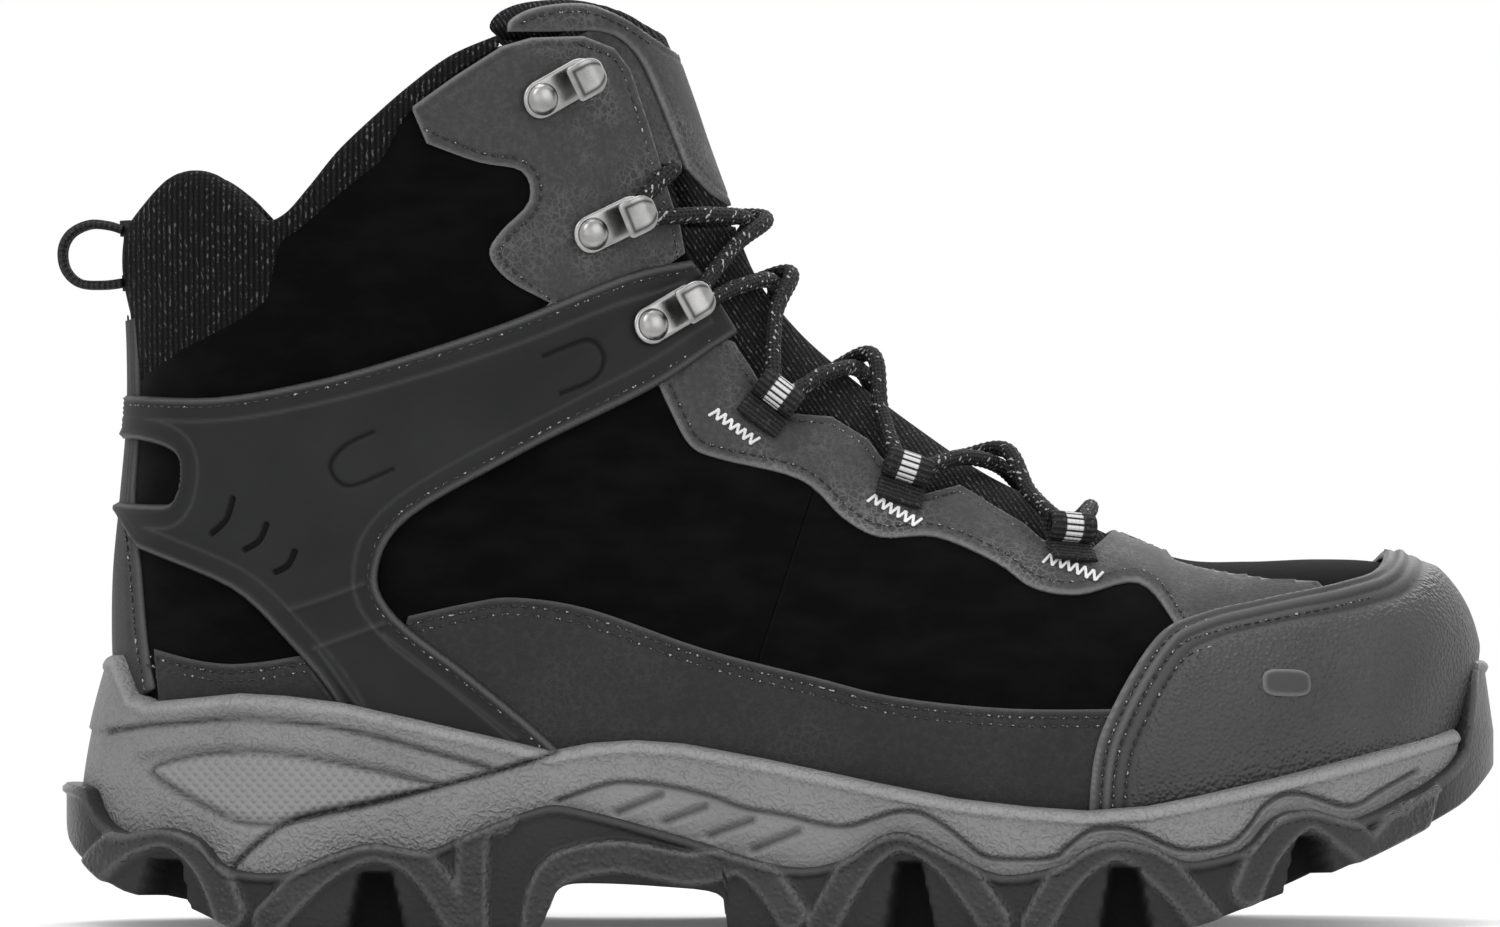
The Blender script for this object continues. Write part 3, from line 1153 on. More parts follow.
def makeMidsole():
    print("midsole and heel cradle")
    x = ringPath[:, 0]
    low = np.minimum(lineAt(soleWave, x), 39) - 1.6
    leant = x - ringOut[:, 0] * heelLean(x, lineAt(midsoleTop, x))
    high = np.minimum(lineAt(midsoleTop, leant), 59)
    high = np.where(x > 151, np.minimum(high, 42), high)
    front = step(x, 150, 153) * 4.5
    t = np.linspace(0, 1, soleSettings["wallRows"])[:, None]
    z = low + (high - low) * t
    flat = np.stack([np.broadcast_to(x, z.shape).ravel(), z.ravel()], 1)
    top = soleSettings["rim"]
    under = high - z
    roll = np.where(under < top, 1.5 * (1 - np.sqrt(np.clip(
        1 - ((top - under) / top) ** 2, 0, 1))), 0)
    bulge = 0.8 * (1 - np.abs(2 * t - 1) ** 2)
    rimStep = 0.7 * step(under, top, top + 0.9)
    inset = 1.4 + roll - bulge + rimStep + front + heelLean(x, z)
    groove = flatGap(flat, soleGroove)
    heel = flatGap(flat, heelGroove)
    split = flatGap(flat, splitLine)
    slash = np.min([flatGap(flat, s) for s in slashLines], 0)
    rear = flat[:, 0] < np.interp(flat[:, 1], splitLine[::-1, 1], splitLine[::-1, 0])
    lensIn = inside(flat, lensShape)
    slopeIn = inside(flat, slopeShape)
    lensGap = flatGap(flat, np.vstack([lensShape, lensShape[:1]]))
    slopeGap = flatGap(flat, np.vstack([slopeShape, slopeShape[:1]]))
    below = flat[:, 1] < np.interp(flat[:, 0], soleGroove[:, 0], soleGroove[:, 1])
    panelIn = below & ~rear & (flat[:, 0] > -47) & (flat[:, 0] < 140)
    cut = 1.1 * bell(groove, 0.6) * ~rear + 1.0 * bell(heel, 0.55) * rear
    cut = cut + 1.2 * bell(split, 0.65) + 0.9 * step(1.3 - slash, 0, 0.7)
    cut = cut + 0.5 * panelIn * step(groove, 0.3, 1.5)
    above = flat[:, 1] > np.interp(flat[:, 0], heelGroove[:, 0], heelGroove[:, 1])
    cut = cut - 0.7 * (rear & above) * step(heel, 0.4, 1.2)
    cut = cut + slopeIn * 1.5 * step(slopeGap, 0, 2.2) - lensIn * 0.9 * step(lensGap, 0.2, 1.6)
    cut = cut + 0.7 * bell(lensGap, 0.5)
    wall = inset + cut.reshape(z.shape)
    rows = [np.stack([wall[k], z[k]], 1) for k in range(len(t))]
    shelf = [np.stack([wall[-1] + d, high + h], 1) for d, h in ((1.5, 0.25), (5, 0.1), (11, -1))]
    outer = ringGrid(np.array(rows + shelf))
    inner = ringGrid(np.array([np.stack([r[:, 0] + 3.5, r[:, 1]], 1) for r in rows]
                              + [s - [0, 3.2] for s in shelf]))
    n = len(x)
    marks = {"groove": np.clip(bell(groove, 0.7) * ~rear + bell(heel, 0.6) * rear
                               + bell(split, 0.8) + bell(slash, 0.6)
                               + 0.8 * bell(lensGap, 0.5), 0, 1),
             "lens": lensIn * step(lensGap, 0, 0.6), "panel": panelIn.astype(float),
             "edge": bell(under - top * 0.6, 1.0).ravel()}
    marks = {k: np.concatenate([v, np.zeros(3 * n)]) for k, v in marks.items()}
    points, back = outer.reshape(-1, 3), inner.reshape(-1, 3)
    faces = ringFaces(len(rows) + 3)
    isRear = np.concatenate([rear, np.tile(x < -48, 3)])
    for name, pick, nodes, slot in (("midsoleFoam", False, ["midsole"], "midsole_foam"),
                                    ("heelCradle", True, ["heel_cradle"], "cradle_plastic")):
        chosen = [f for f in faces if (sum(isRear[v] for v in f) >= 2) == pick]
        used = sorted({v for f in chosen for v in f})
        index = {v: k for k, v in enumerate(used)}
        chosen = [[index[v] for v in f] for f in chosen]
        verts, whole = closeSheet(points[used], back[used], chosen)
        both = {k: np.concatenate([v[used], v[used] * 0]) for k, v in marks.items()}
        place(makeMesh(name, verts, whole, "foam", both), "boot", slot, nodes)


def capInside(ringPoints, height, spacing=4.0):  # closes the ring over its middle
    loop = ringPoints[:, :2]
    grid = hexGrid(loop, spacing)
    grid = grid[gapTo(grid, loop) > spacing * 0.5]
    count = len(loop)
    edges = [(k, (k + 1) % count) for k in range(count)]
    made = delaunay_2d_cdt([Vector(p) for p in np.vstack([loop, grid])], edges, [], 1, 1e-5)
    extra = np.array([list(v) for v in made[0]])[count:]
    extra = np.column_stack([extra, height(extra[:, 0])]) if len(extra) else extra
    return extra, [list(f) for f in made[2]]


def makeOutsole():
    print("outsole")
    x = ringPath[:, 0]
    top = rubberTop(x)
    bottom = lineAt(treadLine, x)
    t = np.linspace(0, 1, soleSettings["rubberRows"])[:, None]
    z = top + (bottom - top) * t
    flat = np.stack([np.broadcast_to(x, z.shape).ravel(), z.ravel()], 1)
    leg = np.min([flatGap(flat, smooth(p, 6)) for p in archLegs], 0)
    hole = np.zeros(len(flat), bool)
    holeGap = np.full(len(flat), 9.0)
    for w in windows:
        hole |= inside(flat, np.array(w, float))
        holeGap = np.minimum(holeGap, flatGap(flat, w + [w[0]]))
    sideways = np.abs(ringOut[:, 1])
    strength = np.broadcast_to(step(sideways, 0.3, 0.7), z.shape).ravel()
    rib = step(4.3 - leg, 0, 1.5) * soleSettings["rib"]
    hollow = hole * step(holeGap, 0.1, 1.0) * soleSettings["window"] * strength
    topGap = np.broadcast_to((top - z), z.shape).ravel()
    lip = 0.9 * step(topGap, 0, 0.9) * (1 - step(topGap, 1.6, 2.6))
    cut = hollow - rib * strength - lip - 0.2
    bumperLean = step(x, 150, 156)
    inset = cut.reshape(z.shape) + bumperLean * np.clip(z - 42, 0, 20) * 0.14
    soft = soleSettings["edge"]
    nearLow = np.clip(z - bottom, 0, soft)
    inset = inset + (soft - nearLow) ** 2 / soft * 0.8
    wall = [np.stack([inset[k], z[k]], 1) for k in range(len(t))]
    depth = np.minimum(4.5, np.maximum(top - bottom - 4, 1))
    floorHigh = bottom + depth
    inwards = np.where(x > 150, 3.2, 12.5)
    start = np.where(x > 150, 2.4, 6.0)
    head = [np.stack([np.maximum(inset[0], 0) + start, top - 0.2], 1),
            np.stack([inset[0] + 0.6, top + 0.02], 1)]
    foot = [np.stack([np.maximum(inset[-1] + 0.8, 7), bottom], 1),
            np.stack([inwards + 0.3, bottom], 1), np.stack([inwards + 0.8, floorHigh], 1)]
    rows = np.array(head + wall + foot)
    points = ringGrid(rows)
    n = len(x)
    flatPoints = points.reshape(-1, 3)
    faces = [f[::-1] for f in ringFaces(len(rows))]
    first = points[0]
    last = points[-1]
    extraTop, topFaces = capInside(first, rubberTop)
    extraLow, lowFaces = capInside(last, lambda v: lineAt(treadLine, v) + 4.5)
    total = len(flatPoints)
    lastStart = total - n
    faces += [[v if v < n else total + v - n for v in f] for f in topFaces]
    faces += [[lastStart + v if v < n else total + len(extraTop) + v - n for v in reversed(f)]
              for f in lowFaces]
    verts = np.vstack([flatPoints, extraTop, extraLow])
    edge = np.clip(bell(leg - 3.0, 0.6) * strength + bell(topGap - 0.8, 0.7), 0, 1)
    field = (leg < 3.6).astype(float)
    dark = hole * step(holeGap, 0.1, 0.9) * strength + 0.6 * step(leg, 3.6, 4.4) * strength

    def padded(values):  # only the wall's own points carry marks
        return np.concatenate([np.zeros(2 * n), values,
                               np.zeros(3 * n + len(extraTop) + len(extraLow))])

    marks = {"edge": padded(edge), "field": padded(field), "hollow": padded(dark)}
    piece = makeMesh("outsoleRubber", verts, faces, "rubber", marks)
    turnOut(piece)
    place(piece, "boot", "outsole_rubber", ["outsole"])


def turnOut(piece):  # all faces of a closed mesh point outwards
    work = bmesh.new()
    work.from_mesh(piece.data)
    bmesh.ops.recalc_face_normals(work, faces=work.faces)
    work.to_mesh(piece.data)
    work.free()


lugPiece = {"root": 5.0, "bevel": 0.5, "taper": 0.82, "flare": 0.1, "aside": 0.44,
            "lean": 0.3, "rows": [(-112, -56, 5), (-2, 92, 8)]}


def lugOutline(kind, turn, size):
    shapes = {"arrow": [[-5, -7], [0, -4], [5, -7], [5, 2], [0, 6], [-5, 2]],
              "bar": [[-3.4, -8], [3.4, -8], [3.4, 8], [-3.4, 8]],
              "half": [[-4.5, -6], [4.5, -4], [4.5, 4], [-4.5, 6]]}
    p = np.array(shapes[kind], float) * size
    c, s = math.cos(turn), math.sin(turn)
    return p @ np.array([[c, s], [-s, c]])


def halfWidthAt(x):  # from the middle line to the sole's edge
    edge = ringPath[ringPath[:, 1] < 0]
    edge = edge[np.argsort(edge[:, 0])]
    return float(np.interp(x, edge[:, 0], -edge[:, 1]))


def makeTreadLugs():
    print("tread lugs")
    verts, faces = [], []
    for start, end, count in lugPiece["rows"]:
        for k in range(count):
            x = start + (end - start) * (k + 0.5) / count
            width = halfWidthAt(x)
            aside, lean = lugPiece["aside"], lugPiece["lean"]
            spots = [(0, "arrow", math.pi / 2 * 3), (-width * aside, "half", lean),
                     (width * aside, "half", math.pi - lean)]
            for y, kind, turn in spots:
                outline = lugOutline(kind, turn, 0.95 if kind == "arrow" else 0.9)
                base = len(verts)
                ground = float(lineAt(treadLine, x))
                corners = len(outline)
                taper = lugPiece["taper"]
                for z, size in ((ground + lugPiece["root"], 1.0),
                                (ground + lugPiece["bevel"], taper + lugPiece["flare"]),
                                (ground, taper)):
                    verts += [[x + p[0] * size, y + p[1] * size, z] for p in outline]
                for ring in range(2):
                    for m in range(corners):
                        a = base + ring * corners + m
                        b = base + ring * corners + (m + 1) % corners
                        faces.append([a, b, b + corners, a + corners])
                faces.append([base + m for m in range(corners)])
                faces.append([base + 2 * corners + m for m in reversed(range(corners))])
    zeros = np.zeros(len(verts))
    marks = {"edge": zeros, "field": zeros, "hollow": zeros}
    piece = makeMesh("treadLugs", verts, faces, "rubber", marks, smoothed=False)
    turnOut(piece)
    place(piece, "boot", "outsole_rubber")


# Straps, hooks and other folded strips
def strap(name, finish, path, across, width, thickness, columns=11, groove=None):
    path = np.asarray(path, float)
    count = len(path)
    width = np.broadcast_to(np.asarray(width, float), (count,))
    along = unit(np.gradient(path, axis=0))
    up = unit(np.cross(along, across))
    v = np.linspace(-0.5, 0.5, columns)
    roundness = np.sqrt(np.clip(1 - np.abs(2 * v) ** 8, 0.06, 1))
    flat = path[:, None, :] + across[:, None, :] * (width[:, None] * v[None, :])[:, :, None]
    rise = up[:, None, :] * (thickness / 2 * roundness)[None, :, None]
    ring = np.concatenate([flat + rise, (flat - rise)[:, ::-1]], 1)
    size = 2 * columns
    faces = [[r * size + k, r * size + (k + 1) % size, (r + 1) * size + (k + 1) % size,
              (r + 1) * size + k] for r in range(count - 1) for k in range(size)]
    faces += [list(range(size))[::-1], [(count - 1) * size + k for k in range(size)]]
    length = np.concatenate([[0], np.cumsum(np.linalg.norm(np.diff(path, axis=0), axis=1))])
    acrossMark = np.concatenate([v, v[::-1]])[None, :] * width[:, None]
    marks = {"along": np.repeat(length, size), "across": acrossMark.ravel(),
             "edge": np.zeros(count * size)}
    if groove:
        marks["edge"] = groove(marks["along"], marks["across"], length[-1])
    piece = makeMesh(name, ring.reshape(-1, 3), faces, finish, marks)
    turnOut(piece)
    return piece


def joined(name, parts):
    meshes = [p.data for p in parts]
    target = parts[0]
    with bpy.context.temp_override(active_object=target, object=target,
                                   selected_objects=parts, selected_editable_objects=parts):
        bpy.ops.object.join()
    target.name = name
    for mesh in meshes[1:]:
        if mesh.users == 0:
            bpy.data.meshes.remove(mesh)
    return target


def standOn(x, z, turn, lift, side):  # local frame on the boot's side
    around = np.array([[x, z], [x + 1, z], [x, z + 1]], float)
    u, c = fromSide(around)
    c = 2 - c if side > 0 else c
    p = skin(u, c)
    normal = skinNormal(u[:1], c[:1])[0]
    right = unit(p[1] - p[0])
    right = unit(right - normal * np.dot(right, normal))
    up = np.cross(normal, right) if side < 0 else np.cross(right, normal)
    a = math.radians(turn)
    xAxis = right * math.cos(a) + up * math.sin(a)
    yAxis = -right * math.sin(a) + up * math.cos(a)
    return p[0] + normal * lift, xAxis, yAxis, normal


def inFrame(frameOf, points):
    origin, xAxis, yAxis, normal = frameOf
    points = np.asarray(points, float)
    return (origin + points[:, 0:1] * xAxis + points[:, 1:2] * yAxis
            + points[:, 2:3] * normal)


hookPiece = {
    "places": [(-48, 182.5, 28, 2.0), (-37, 153, 24, 2.0), (-25, 133, 28, 3.8)],
    "fold": [[-9.4, 0.45], [-4, 0.45], [0, 0.45], [4, 0.45], [7, 0.6], [8.8, 1.4],
             [9.5, 3], [8.8, 4.7], [7, 5.6], [4.5, 5.8], [2.2, 5.5], [1.0, 5.1]],
    "width": 8.4, "thickness": 0.9, "rivet": 3.5, "dome": 1.7,
}


def hookMesh(name, spot, side):
    fold = evenly(smooth(hookPiece["fold"], 8), 0.3)
    run = np.arange(len(fold)) * 0.3
    rear = np.clip((-5.2 - fold[:, 0]) / 4.3, 0, 1)
    front = np.clip((fold[:, 0] - 5.0) / 4.6, 0, 1)
    free = np.clip(1 - (run[-1] - run) / 0.8, 0, 1)
    width = hookPiece["width"] * np.sqrt(np.clip((1 - rear ** 2) * (1 - front ** 2), 0.02, 1))
    width = width * (1 - 0.12 * free ** 2)

    def groove(along, across, total):  # a D drawn inside the folded tip
        tip = total - along
        rim = np.minimum(np.interp(along, run, width) / 2 - np.abs(across), tip)
        return bell(rim - 1.35, 0.38) * (tip < 8.0)

    frameOf = standOn(spot[0], spot[1], spot[2], spot[3], side)
    path = inFrame(frameOf, np.column_stack([fold[:, 0], 0 * fold[:, 0], fold[:, 1]]))
    across = np.broadcast_to(frameOf[2], path.shape)
    return strap(name, "metal", path, across, width, hookPiece["thickness"], 25, groove)


def rivetMesh(name, spot, side):
    frameOf = standOn(spot[0], spot[1], spot[2], spot[3], side)
    r, high = hookPiece["rivet"], hookPiece["dome"]
    profile = [[r * 1.0, 0.85], [r * 1.02, 1.1], [r * 0.97, 1.35]]
    profile += [[r * math.cos(a) * 0.93, 1.35 + (high - 0.3) * math.sin(a)]
                for a in np.linspace(0.15, math.pi / 2 - 0.12, 7)]
    count = 32
    verts = [[-5 + p[0] * math.cos(a), p[0] * math.sin(a), p[1]] for p in profile
             for a in np.linspace(0, 2 * math.pi, count, endpoint=False)]
    faces = [[row * count + k, row * count + (k + 1) % count,
              (row + 1) * count + (k + 1) % count, (row + 1) * count + k]
             for row in range(len(profile) - 1) for k in range(count)]
    faces += [list(range(count))[::-1],
              [(len(profile) - 1) * count + k for k in range(count)]]
    piece = makeMesh(name, inFrame(frameOf, verts), faces, "metal")
    turnOut(piece)
    return piece


def makeHooks():
    print("hooks")
    for side, word in sides:
        hooks = [hookMesh("hook", s, side) for s in hookPiece["places"]]
        place(joined("hooks" + word, hooks), "boot", "hook_metal", ["hooks_" + word.lower()])
        domes = [rivetMesh("rivet", s, side) for s in hookPiece["places"]]
        place(joined("hookRivets" + word, domes), "boot", "rivet_metal",
              ["hook_rivets_" + word.lower()])


loopPiece = {"places": [(-1.5, 114, 47), (27, 97, 65), (62.5, 83, 80)], "width": 10.5,
             "thickness": 1.1, "radius": 2.75, "lift": 2.0, "tail": 8.2,
             "tacks": [[[-14.5, 112], [-5, 105]], [[20, 93], [30.5, 87]], [[58, 79.5], [70, 75]]]}


def makeLaceLoops():
    print("lace loops")
    r, centre = loopPiece["radius"], 3.3
    angles = np.linspace(-math.pi / 2, math.pi * 1.42, 34)
    ring = [[r * math.cos(a), centre + r * math.sin(a)] for a in angles]
    tail = [[-loopPiece["tail"], 0.55], [-7, 0.55], [-4, 0.55], [-2, 0.55]]
    profile = np.array(tail + ring)
    for side, word in sides:
        parts, tacks = [], []
        for x, z, turn in loopPiece["places"]:
            frameOf = standOn(x, z, turn, loopPiece["lift"], side)
            path = inFrame(frameOf, np.column_stack([profile[:, 0], 0 * profile[:, 0],
                                                     profile[:, 1]]))
            across = np.broadcast_to(frameOf[2], path.shape)
            parts.append(strap("loop", "webbing", path, across, loopPiece["width"],
                               loopPiece["thickness"], 15))
        for start, end in np.array(loopPiece["tacks"], float):
            run = end - start
            aside = 1.1 * unit(np.array([-run[1], run[0]]))
            zigzag = [start + run * k / 13 + aside * (1 if k % 2 else -1) for k in range(14)]
            tacks.append(onSkin(zigzag, side, 1.75, 0.45))
        place(joined("laceLoops" + word, parts), "boot", "webbing",
              ["lace_loops_" + word.lower()])
        place(formRows("bartacks" + word, tacks, "bartack", 0.6, 0.95, 0.8, 0.5), "boot",
              "webbing")


laceRoute = [
    [-29, -18, 158], [-22.5, -23.5, 165.5], [-30.5, -32, 155.5], [-14.5, -18, 155.5],
    [-6.5, -2, 154.5], [-9.5, 14, 148.5], [-18, 28.5, 136], [-8, 16, 140], [3, 2.5, 143],
    [-0.5, -12.5, 133], [0.5, -25.5, 116.5], [11, -13, 121], [18.5, 1, 121.5],
    [23, 14, 112], [28.5, 26.5, 100.5], [40.5, 13, 102.5], [50.5, -1, 104],
    [55.5, -14, 94.5], [64, -27.5, 87.5], [69, 0, 91.5], [64, 27.5, 87.5],
    [55.5, 14, 94.5], [49, 0.5, 100.5], [40.5, -13, 102.5], [28.5, -26.5, 100.5],
    [23, -14, 112], [21, -1, 125], [11, 13, 121], [0.5, 25.5, 116.5],
    [-0.5, 12.5, 133], [-1, -2, 141], [-8, -16, 140], [-18, -28.5, 136],
    [-9.5, -14, 148.5], [-2.5, 2.5, 155], [-14.5, 18, 155.5], [-30.5, 32, 155.5],
    [-22.5, 23.5, 165.5], [-29, 18, 158]
]
lacePiece = {"diameter": 3.6, "ring": 0.42, "around": 24, "braid": 0.16, "pitch": 4.4}


def makeLace():
    print("lace")
    path = evenly(smooth(laceRoute, 14), lacePiece["ring"])
    along = unit(np.gradient(path, axis=0))
    carry = [unit(np.cross(along[0], [0, 1, 0]))]
    for t in along[1:]:
        carry.append(unit(carry[-1] - t * np.dot(carry[-1], t)))
    first = np.array(carry)
    second = np.cross(along, first)
    count = lacePiece["around"]
    a = np.linspace(0, 2 * math.pi, count, endpoint=False)[None, :]
    s = np.arange(len(path))[:, None] * lacePiece["ring"]
    lift = (np.abs(np.sin(a * 3 + s * 2 * math.pi / lacePiece["pitch"]))
            + np.abs(np.sin(a * 3 - s * 2 * math.pi / lacePiece["pitch"]))) - 1
    r = lacePiece["diameter"] / 2 - 0.1 + lacePiece["braid"] * lift
    ends = np.minimum(s, s[-1] - s)
    r = r * np.sqrt(np.clip(ends / 1.4, 0.08, 1))
    ring = (path[:, None, :] + first[:, None, :] * (r * np.cos(a))[:, :, None]
            + second[:, None, :] * (r * np.sin(a))[:, :, None])
    faces = [[k * count + m, (k + 1) * count + m, (k + 1) * count + (m + 1) % count,
              k * count + (m + 1) % count] for k in range(len(path) - 1)
             for m in range(count)]
    faces += [list(range(count)), [(len(path) - 1) * count + m for m in range(count)][::-1]]
    marks = {"along": np.broadcast_to(s, r.shape).ravel(),
             "turn": np.broadcast_to(a, r.shape).ravel()}
    piece = makeMesh("laceBraid", ring.reshape(-1, 3), faces, "lace", marks)
    turnOut(piece)
    place(piece, "boot", "lace_braid", ["lace"])


def backRows(edge, rows):  # a side outline's front edge as widths round the heel
    u, c = fromSide(np.array(edge, float))
    order = np.argsort(u)
    levels = np.linspace(u.min(), u.max(), rows)
    return levels, np.interp(levels, u[order], c[order])


backstayEdge = smooth([[-140, 133], [-139.5, 112], [-140.5, 93], [-139, 79],
                       [-137.5, 62.5], [-135.5, 52]], 6)


def makeBackstay():
    print("backstay")
    levels, width = backRows(backstayEdge, 90)
    t = np.linspace(-1, 1, 61)
    u = np.repeat(levels, len(t))
    c = (width[:, None] * t[None, :]).ravel()
    points, normals = skin(u, c), skinNormal(u, c)
    side = np.tile(1 - np.abs(t), len(levels)) * 8
    shape = 1.2 * (0.45 + 0.55 * step(side, 0, 0.8)) + 0.7 * step(side, 0.5, 6)
    shape = shape - 0.2 * bell(side - 1.6, 0.4)
    top = points + normals * (0.2 + shape)[:, None]
    low = points - normals * 0.3
    n = len(t)
    faces = [[r * n + k, r * n + k + 1, (r + 1) * n + k + 1, (r + 1) * n + k]
             for r in range(len(levels) - 1) for k in range(n - 1)]
    verts, whole = closeSheet(top, low, faces)
    edge = np.concatenate([bell(side, 0.4), side * 0])
    piece = makeMesh("backstayLeather", verts, whole, "smooth", {"edge": edge})
    turnOut(piece)
    place(piece, "boot", "leather_smooth", ["backstay"])
    for side, word in sides:
        stitch("backstayStitches" + word, [shifted(backstayEdge, -1.5)], side, 1.5,
               slot="leather_smooth")


collarPiece = {
    "top": [[-60.5, 194], [-70.5, 189.5], [-80, 182.5], [-88, 175.5], [-95.5, 168.5],
            [-102, 160.8], [-107.5, 155], [-112.5, 154], [-119, 160], [-126, 164.3],
            [-133, 164], [-139, 158.5], [-143, 153.5]],
    "seam": [[-60.5, 191.8], [-70.5, 185.6], [-80.5, 177.6], [-86, 170], [-92, 164.3],
             [-98, 158.3], [-104, 152.8], [-109, 149.8], [-115.5, 146.2], [-123, 142.8],
             [-130, 139.6], [-137, 136], [-143, 133.5]],
    "roll": 4.6, "proud": 0.7, "puff": 1.3, "inside": 26.0,
}


def makeCollar():
    print("collar")
    upper, lower = smooth(collarPiece["top"], 11), smooth(collarPiece["seam"], 11)
    uT, cT = fromSide(upper)
    uS, cS = fromSide(lower)
    uT = np.concatenate([uT, uT[-2::-1]])
    uS = np.concatenate([uS, uS[-2::-1]])
    cT[-1] = cS[-1] = 0
    cT = np.concatenate([cT, -cT[-2::-1]])
    cS = np.concatenate([cS, -cS[-2::-1]])
    height = np.linalg.norm(skin(uT, cT) - skin(uS, cS), axis=1)
    roll = np.minimum(collarPiece["roll"], np.maximum(height * 0.55, 1.0))
    proud = collarPiece["proud"]
    rows = []
    for t in np.linspace(0, 1, 14):
        rows.append((t * (1 - roll / height), proud + collarPiece["puff"]
                     * math.sin(math.pi * min(t * 0.75 + 0.05, 1)) * step(height, 3, 14)))
    edge = rows[-1][1]
    for a in np.linspace(0.12, math.pi, 14):
        rows.append((1 - roll * (1 - math.sin(a)) / height,
                     edge - roll * (1 - math.cos(a))))
    inner = edge - 2 * roll
    deep = collarPiece["inside"]
    for t in np.linspace(0.08, 1, 12):
        drop = (1 - roll / height) - t * (height * 0.9 + deep * step(height, 3, 12)) / height
        rows.append((drop, inner + (roll * 0.9) * step(t, 0.55, 1.0)))
    last = rows[-1][0]
    rows.append((last, -2.2 + 0 * height))
    points = []
    for t, lift in rows:
        u, c = uS + (uT - uS) * t, cS + (cT - cS) * t
        u = np.clip(u, 0, lastSection)
        points.append(skin(u, c) + skinNormal(u, c) * np.broadcast_to(
            lift, u.shape)[:, None])
    points = np.array(points)
    count, n = len(points), len(uT)
    faces = [[(r % count) * n + k, (r % count) * n + k + 1, ((r + 1) % count) * n + k + 1,
              ((r + 1) % count) * n + k] for r in range(count) for k in range(n - 1)]
    faces += [[r * n for r in range(count)], [r * n + n - 1 for r in range(count)][::-1]]
    piece = makeMesh("collarKnit", points.reshape(-1, 3), faces, "knit")
    turnOut(piece)
    place(piece, "boot", "collar_knit", ["collar"])


liningPiece = {
    "outline": [[-152, 20], [-152, 132.5], [-141.5, 132.5], [-129.5, 138.5],
                [-115.5, 145], [-103.5, 151.5], [-90.5, 163.5], [-82, 171], [-77.5, 178.5],
                [-60.5, 190.5], [-42.5, 192], [-37.5, 186.5], [-34.5, 174], [-33, 165],
                [-33, 152]] + moved(throat[1:], -2, -2.5) + [[77, 95], [170, 95], [170, 20]],
}


def makeLining():
    print("lining")
    for side, word in sides:
        piece = panel("lining" + word, "lining", liningPiece["outline"], -4.6,
                      edged(1.6), 2.4, side=side, depth=0.4)
        place(piece, "boot", "lining_knit", ["lining"])


tongueEdge = smooth([[-14.5, 151], [-17.5, 160], [-20.5, 169.5], [-23.7, 179.5], [-27, 188],
                     [-31, 193.8], [-37, 196.6]], 4)
tongueTop = smooth([[-57.5, 193.2], [-60.3, 195.6], [-58.5, 198.7], [-53.5, 201.1],
                    [-46, 202.4], [-38, 202.6], [-31, 201], [-26.5, 198.8], [-20, 196]], 4)
coverRear = smooth([[-18.8, 165.8], [-21.8, 173.5], [-25.2, 182], [-28.5, 189], [-32.8, 193.6],
                    [-38, 195.4], [-44, 195.2], [-51, 194.9], [-58, 194.8]], 4)
coverTop = smooth([[-58, 194.8], [-57.5, 197.2], [-53, 199.8], [-46, 201.2], [-39.5, 201],
                   [-32.5, 198.3], [-27, 194.9], [-16, 188]], 4)
tonguePiece = {
    "outline": tongueTop.tolist() + [[0, 163], [6, 158], [30, 135], [74, 100]]
    + moved(throat[11:1:-1], 1.8, 1.8) + tongueEdge.tolist()
    + [[-43, 195.6], [-46.5, 193.4], [-52, 192.9]],
    "panel": coverRear.tolist()[:-1] + coverTop.tolist() + [[-3, 163], [-6, 156], [-13.5, 160.5]],
    "bendFrom": [-12, 0, 150], "bendTo": [-18, 0, 171],
    "wings": [
        ("tongueWing", "leather", -1.5, [[-45, 192.6], [-38.5, 190], [-35, 186], [-30.5, 173.5],
                                         [-28.6, 166.8]],
         [[-39, 196.2], [-33.4, 193.8], [-28.6, 188.4], [-21.9, 173], [-19.4, 166.6]]),
        ("gussetWing", "mesh", -5.6, [[-28.4, 166.0], [-26.8, 160], [-24.2, 151.5]],
         [[-19.6, 166.8], [-17.4, 160], [-14.2, 151]])],
    "wingFrom": [-30, 0, 173.6], "wingTo": [-23.5, 0, 177.7],
}


def makeTongueWings():  # thin leather and mesh between the eyestays and the tongue
    print("tongue wings")
    columns = 15
    t = np.linspace(0, 1, columns)
    for name, finish, high, rear, front in tonguePiece["wings"]:
        rear, front = smooth(rear, 9), smooth(front, 9)
        rows = len(rear)
        flat = (rear[:, None, :] + (front - rear)[:, None, :] * t[None, :, None]).reshape(-1, 2)
        u, c = fromSide(flat)
        depth = np.tile(-2.1 + (high + 2.1) * step(t, 0.3, 1.0), rows)[:, None]
        faces = [[r * columns + k, r * columns + k + 1, (r + 1) * columns + k + 1,
                  (r + 1) * columns + k] for r in range(rows - 1) for k in range(columns - 1)]
        for side, word in sides:
            around = 2 - c if side > 0 else c
            points, normals = skin(u, around), skinNormal(u, around)
            verts, whole = closeSheet(points + normals * depth,
                                      points + normals * (depth - 0.5), faces)
            zeros = np.zeros(len(verts))
            piece = makeMesh(name + word, verts, whole, finish, {"edge": zeros})
            turnOut(piece)
            [v * mm for v in tonguePiece["wingFrom"]]
            [v * mm for v in tonguePiece["wingTo"]]
            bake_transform(piece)
            "gusset_mesh" if finish == "mesh" else "leather"


def puffed(gap, points):
    return 5.0 * np.sqrt(np.clip(1 - (1 - np.clip(gap / 2.6, 0, 1)) ** 2, 0.02, 1)) + 0.5 * \
        step(gap, 2, 9)


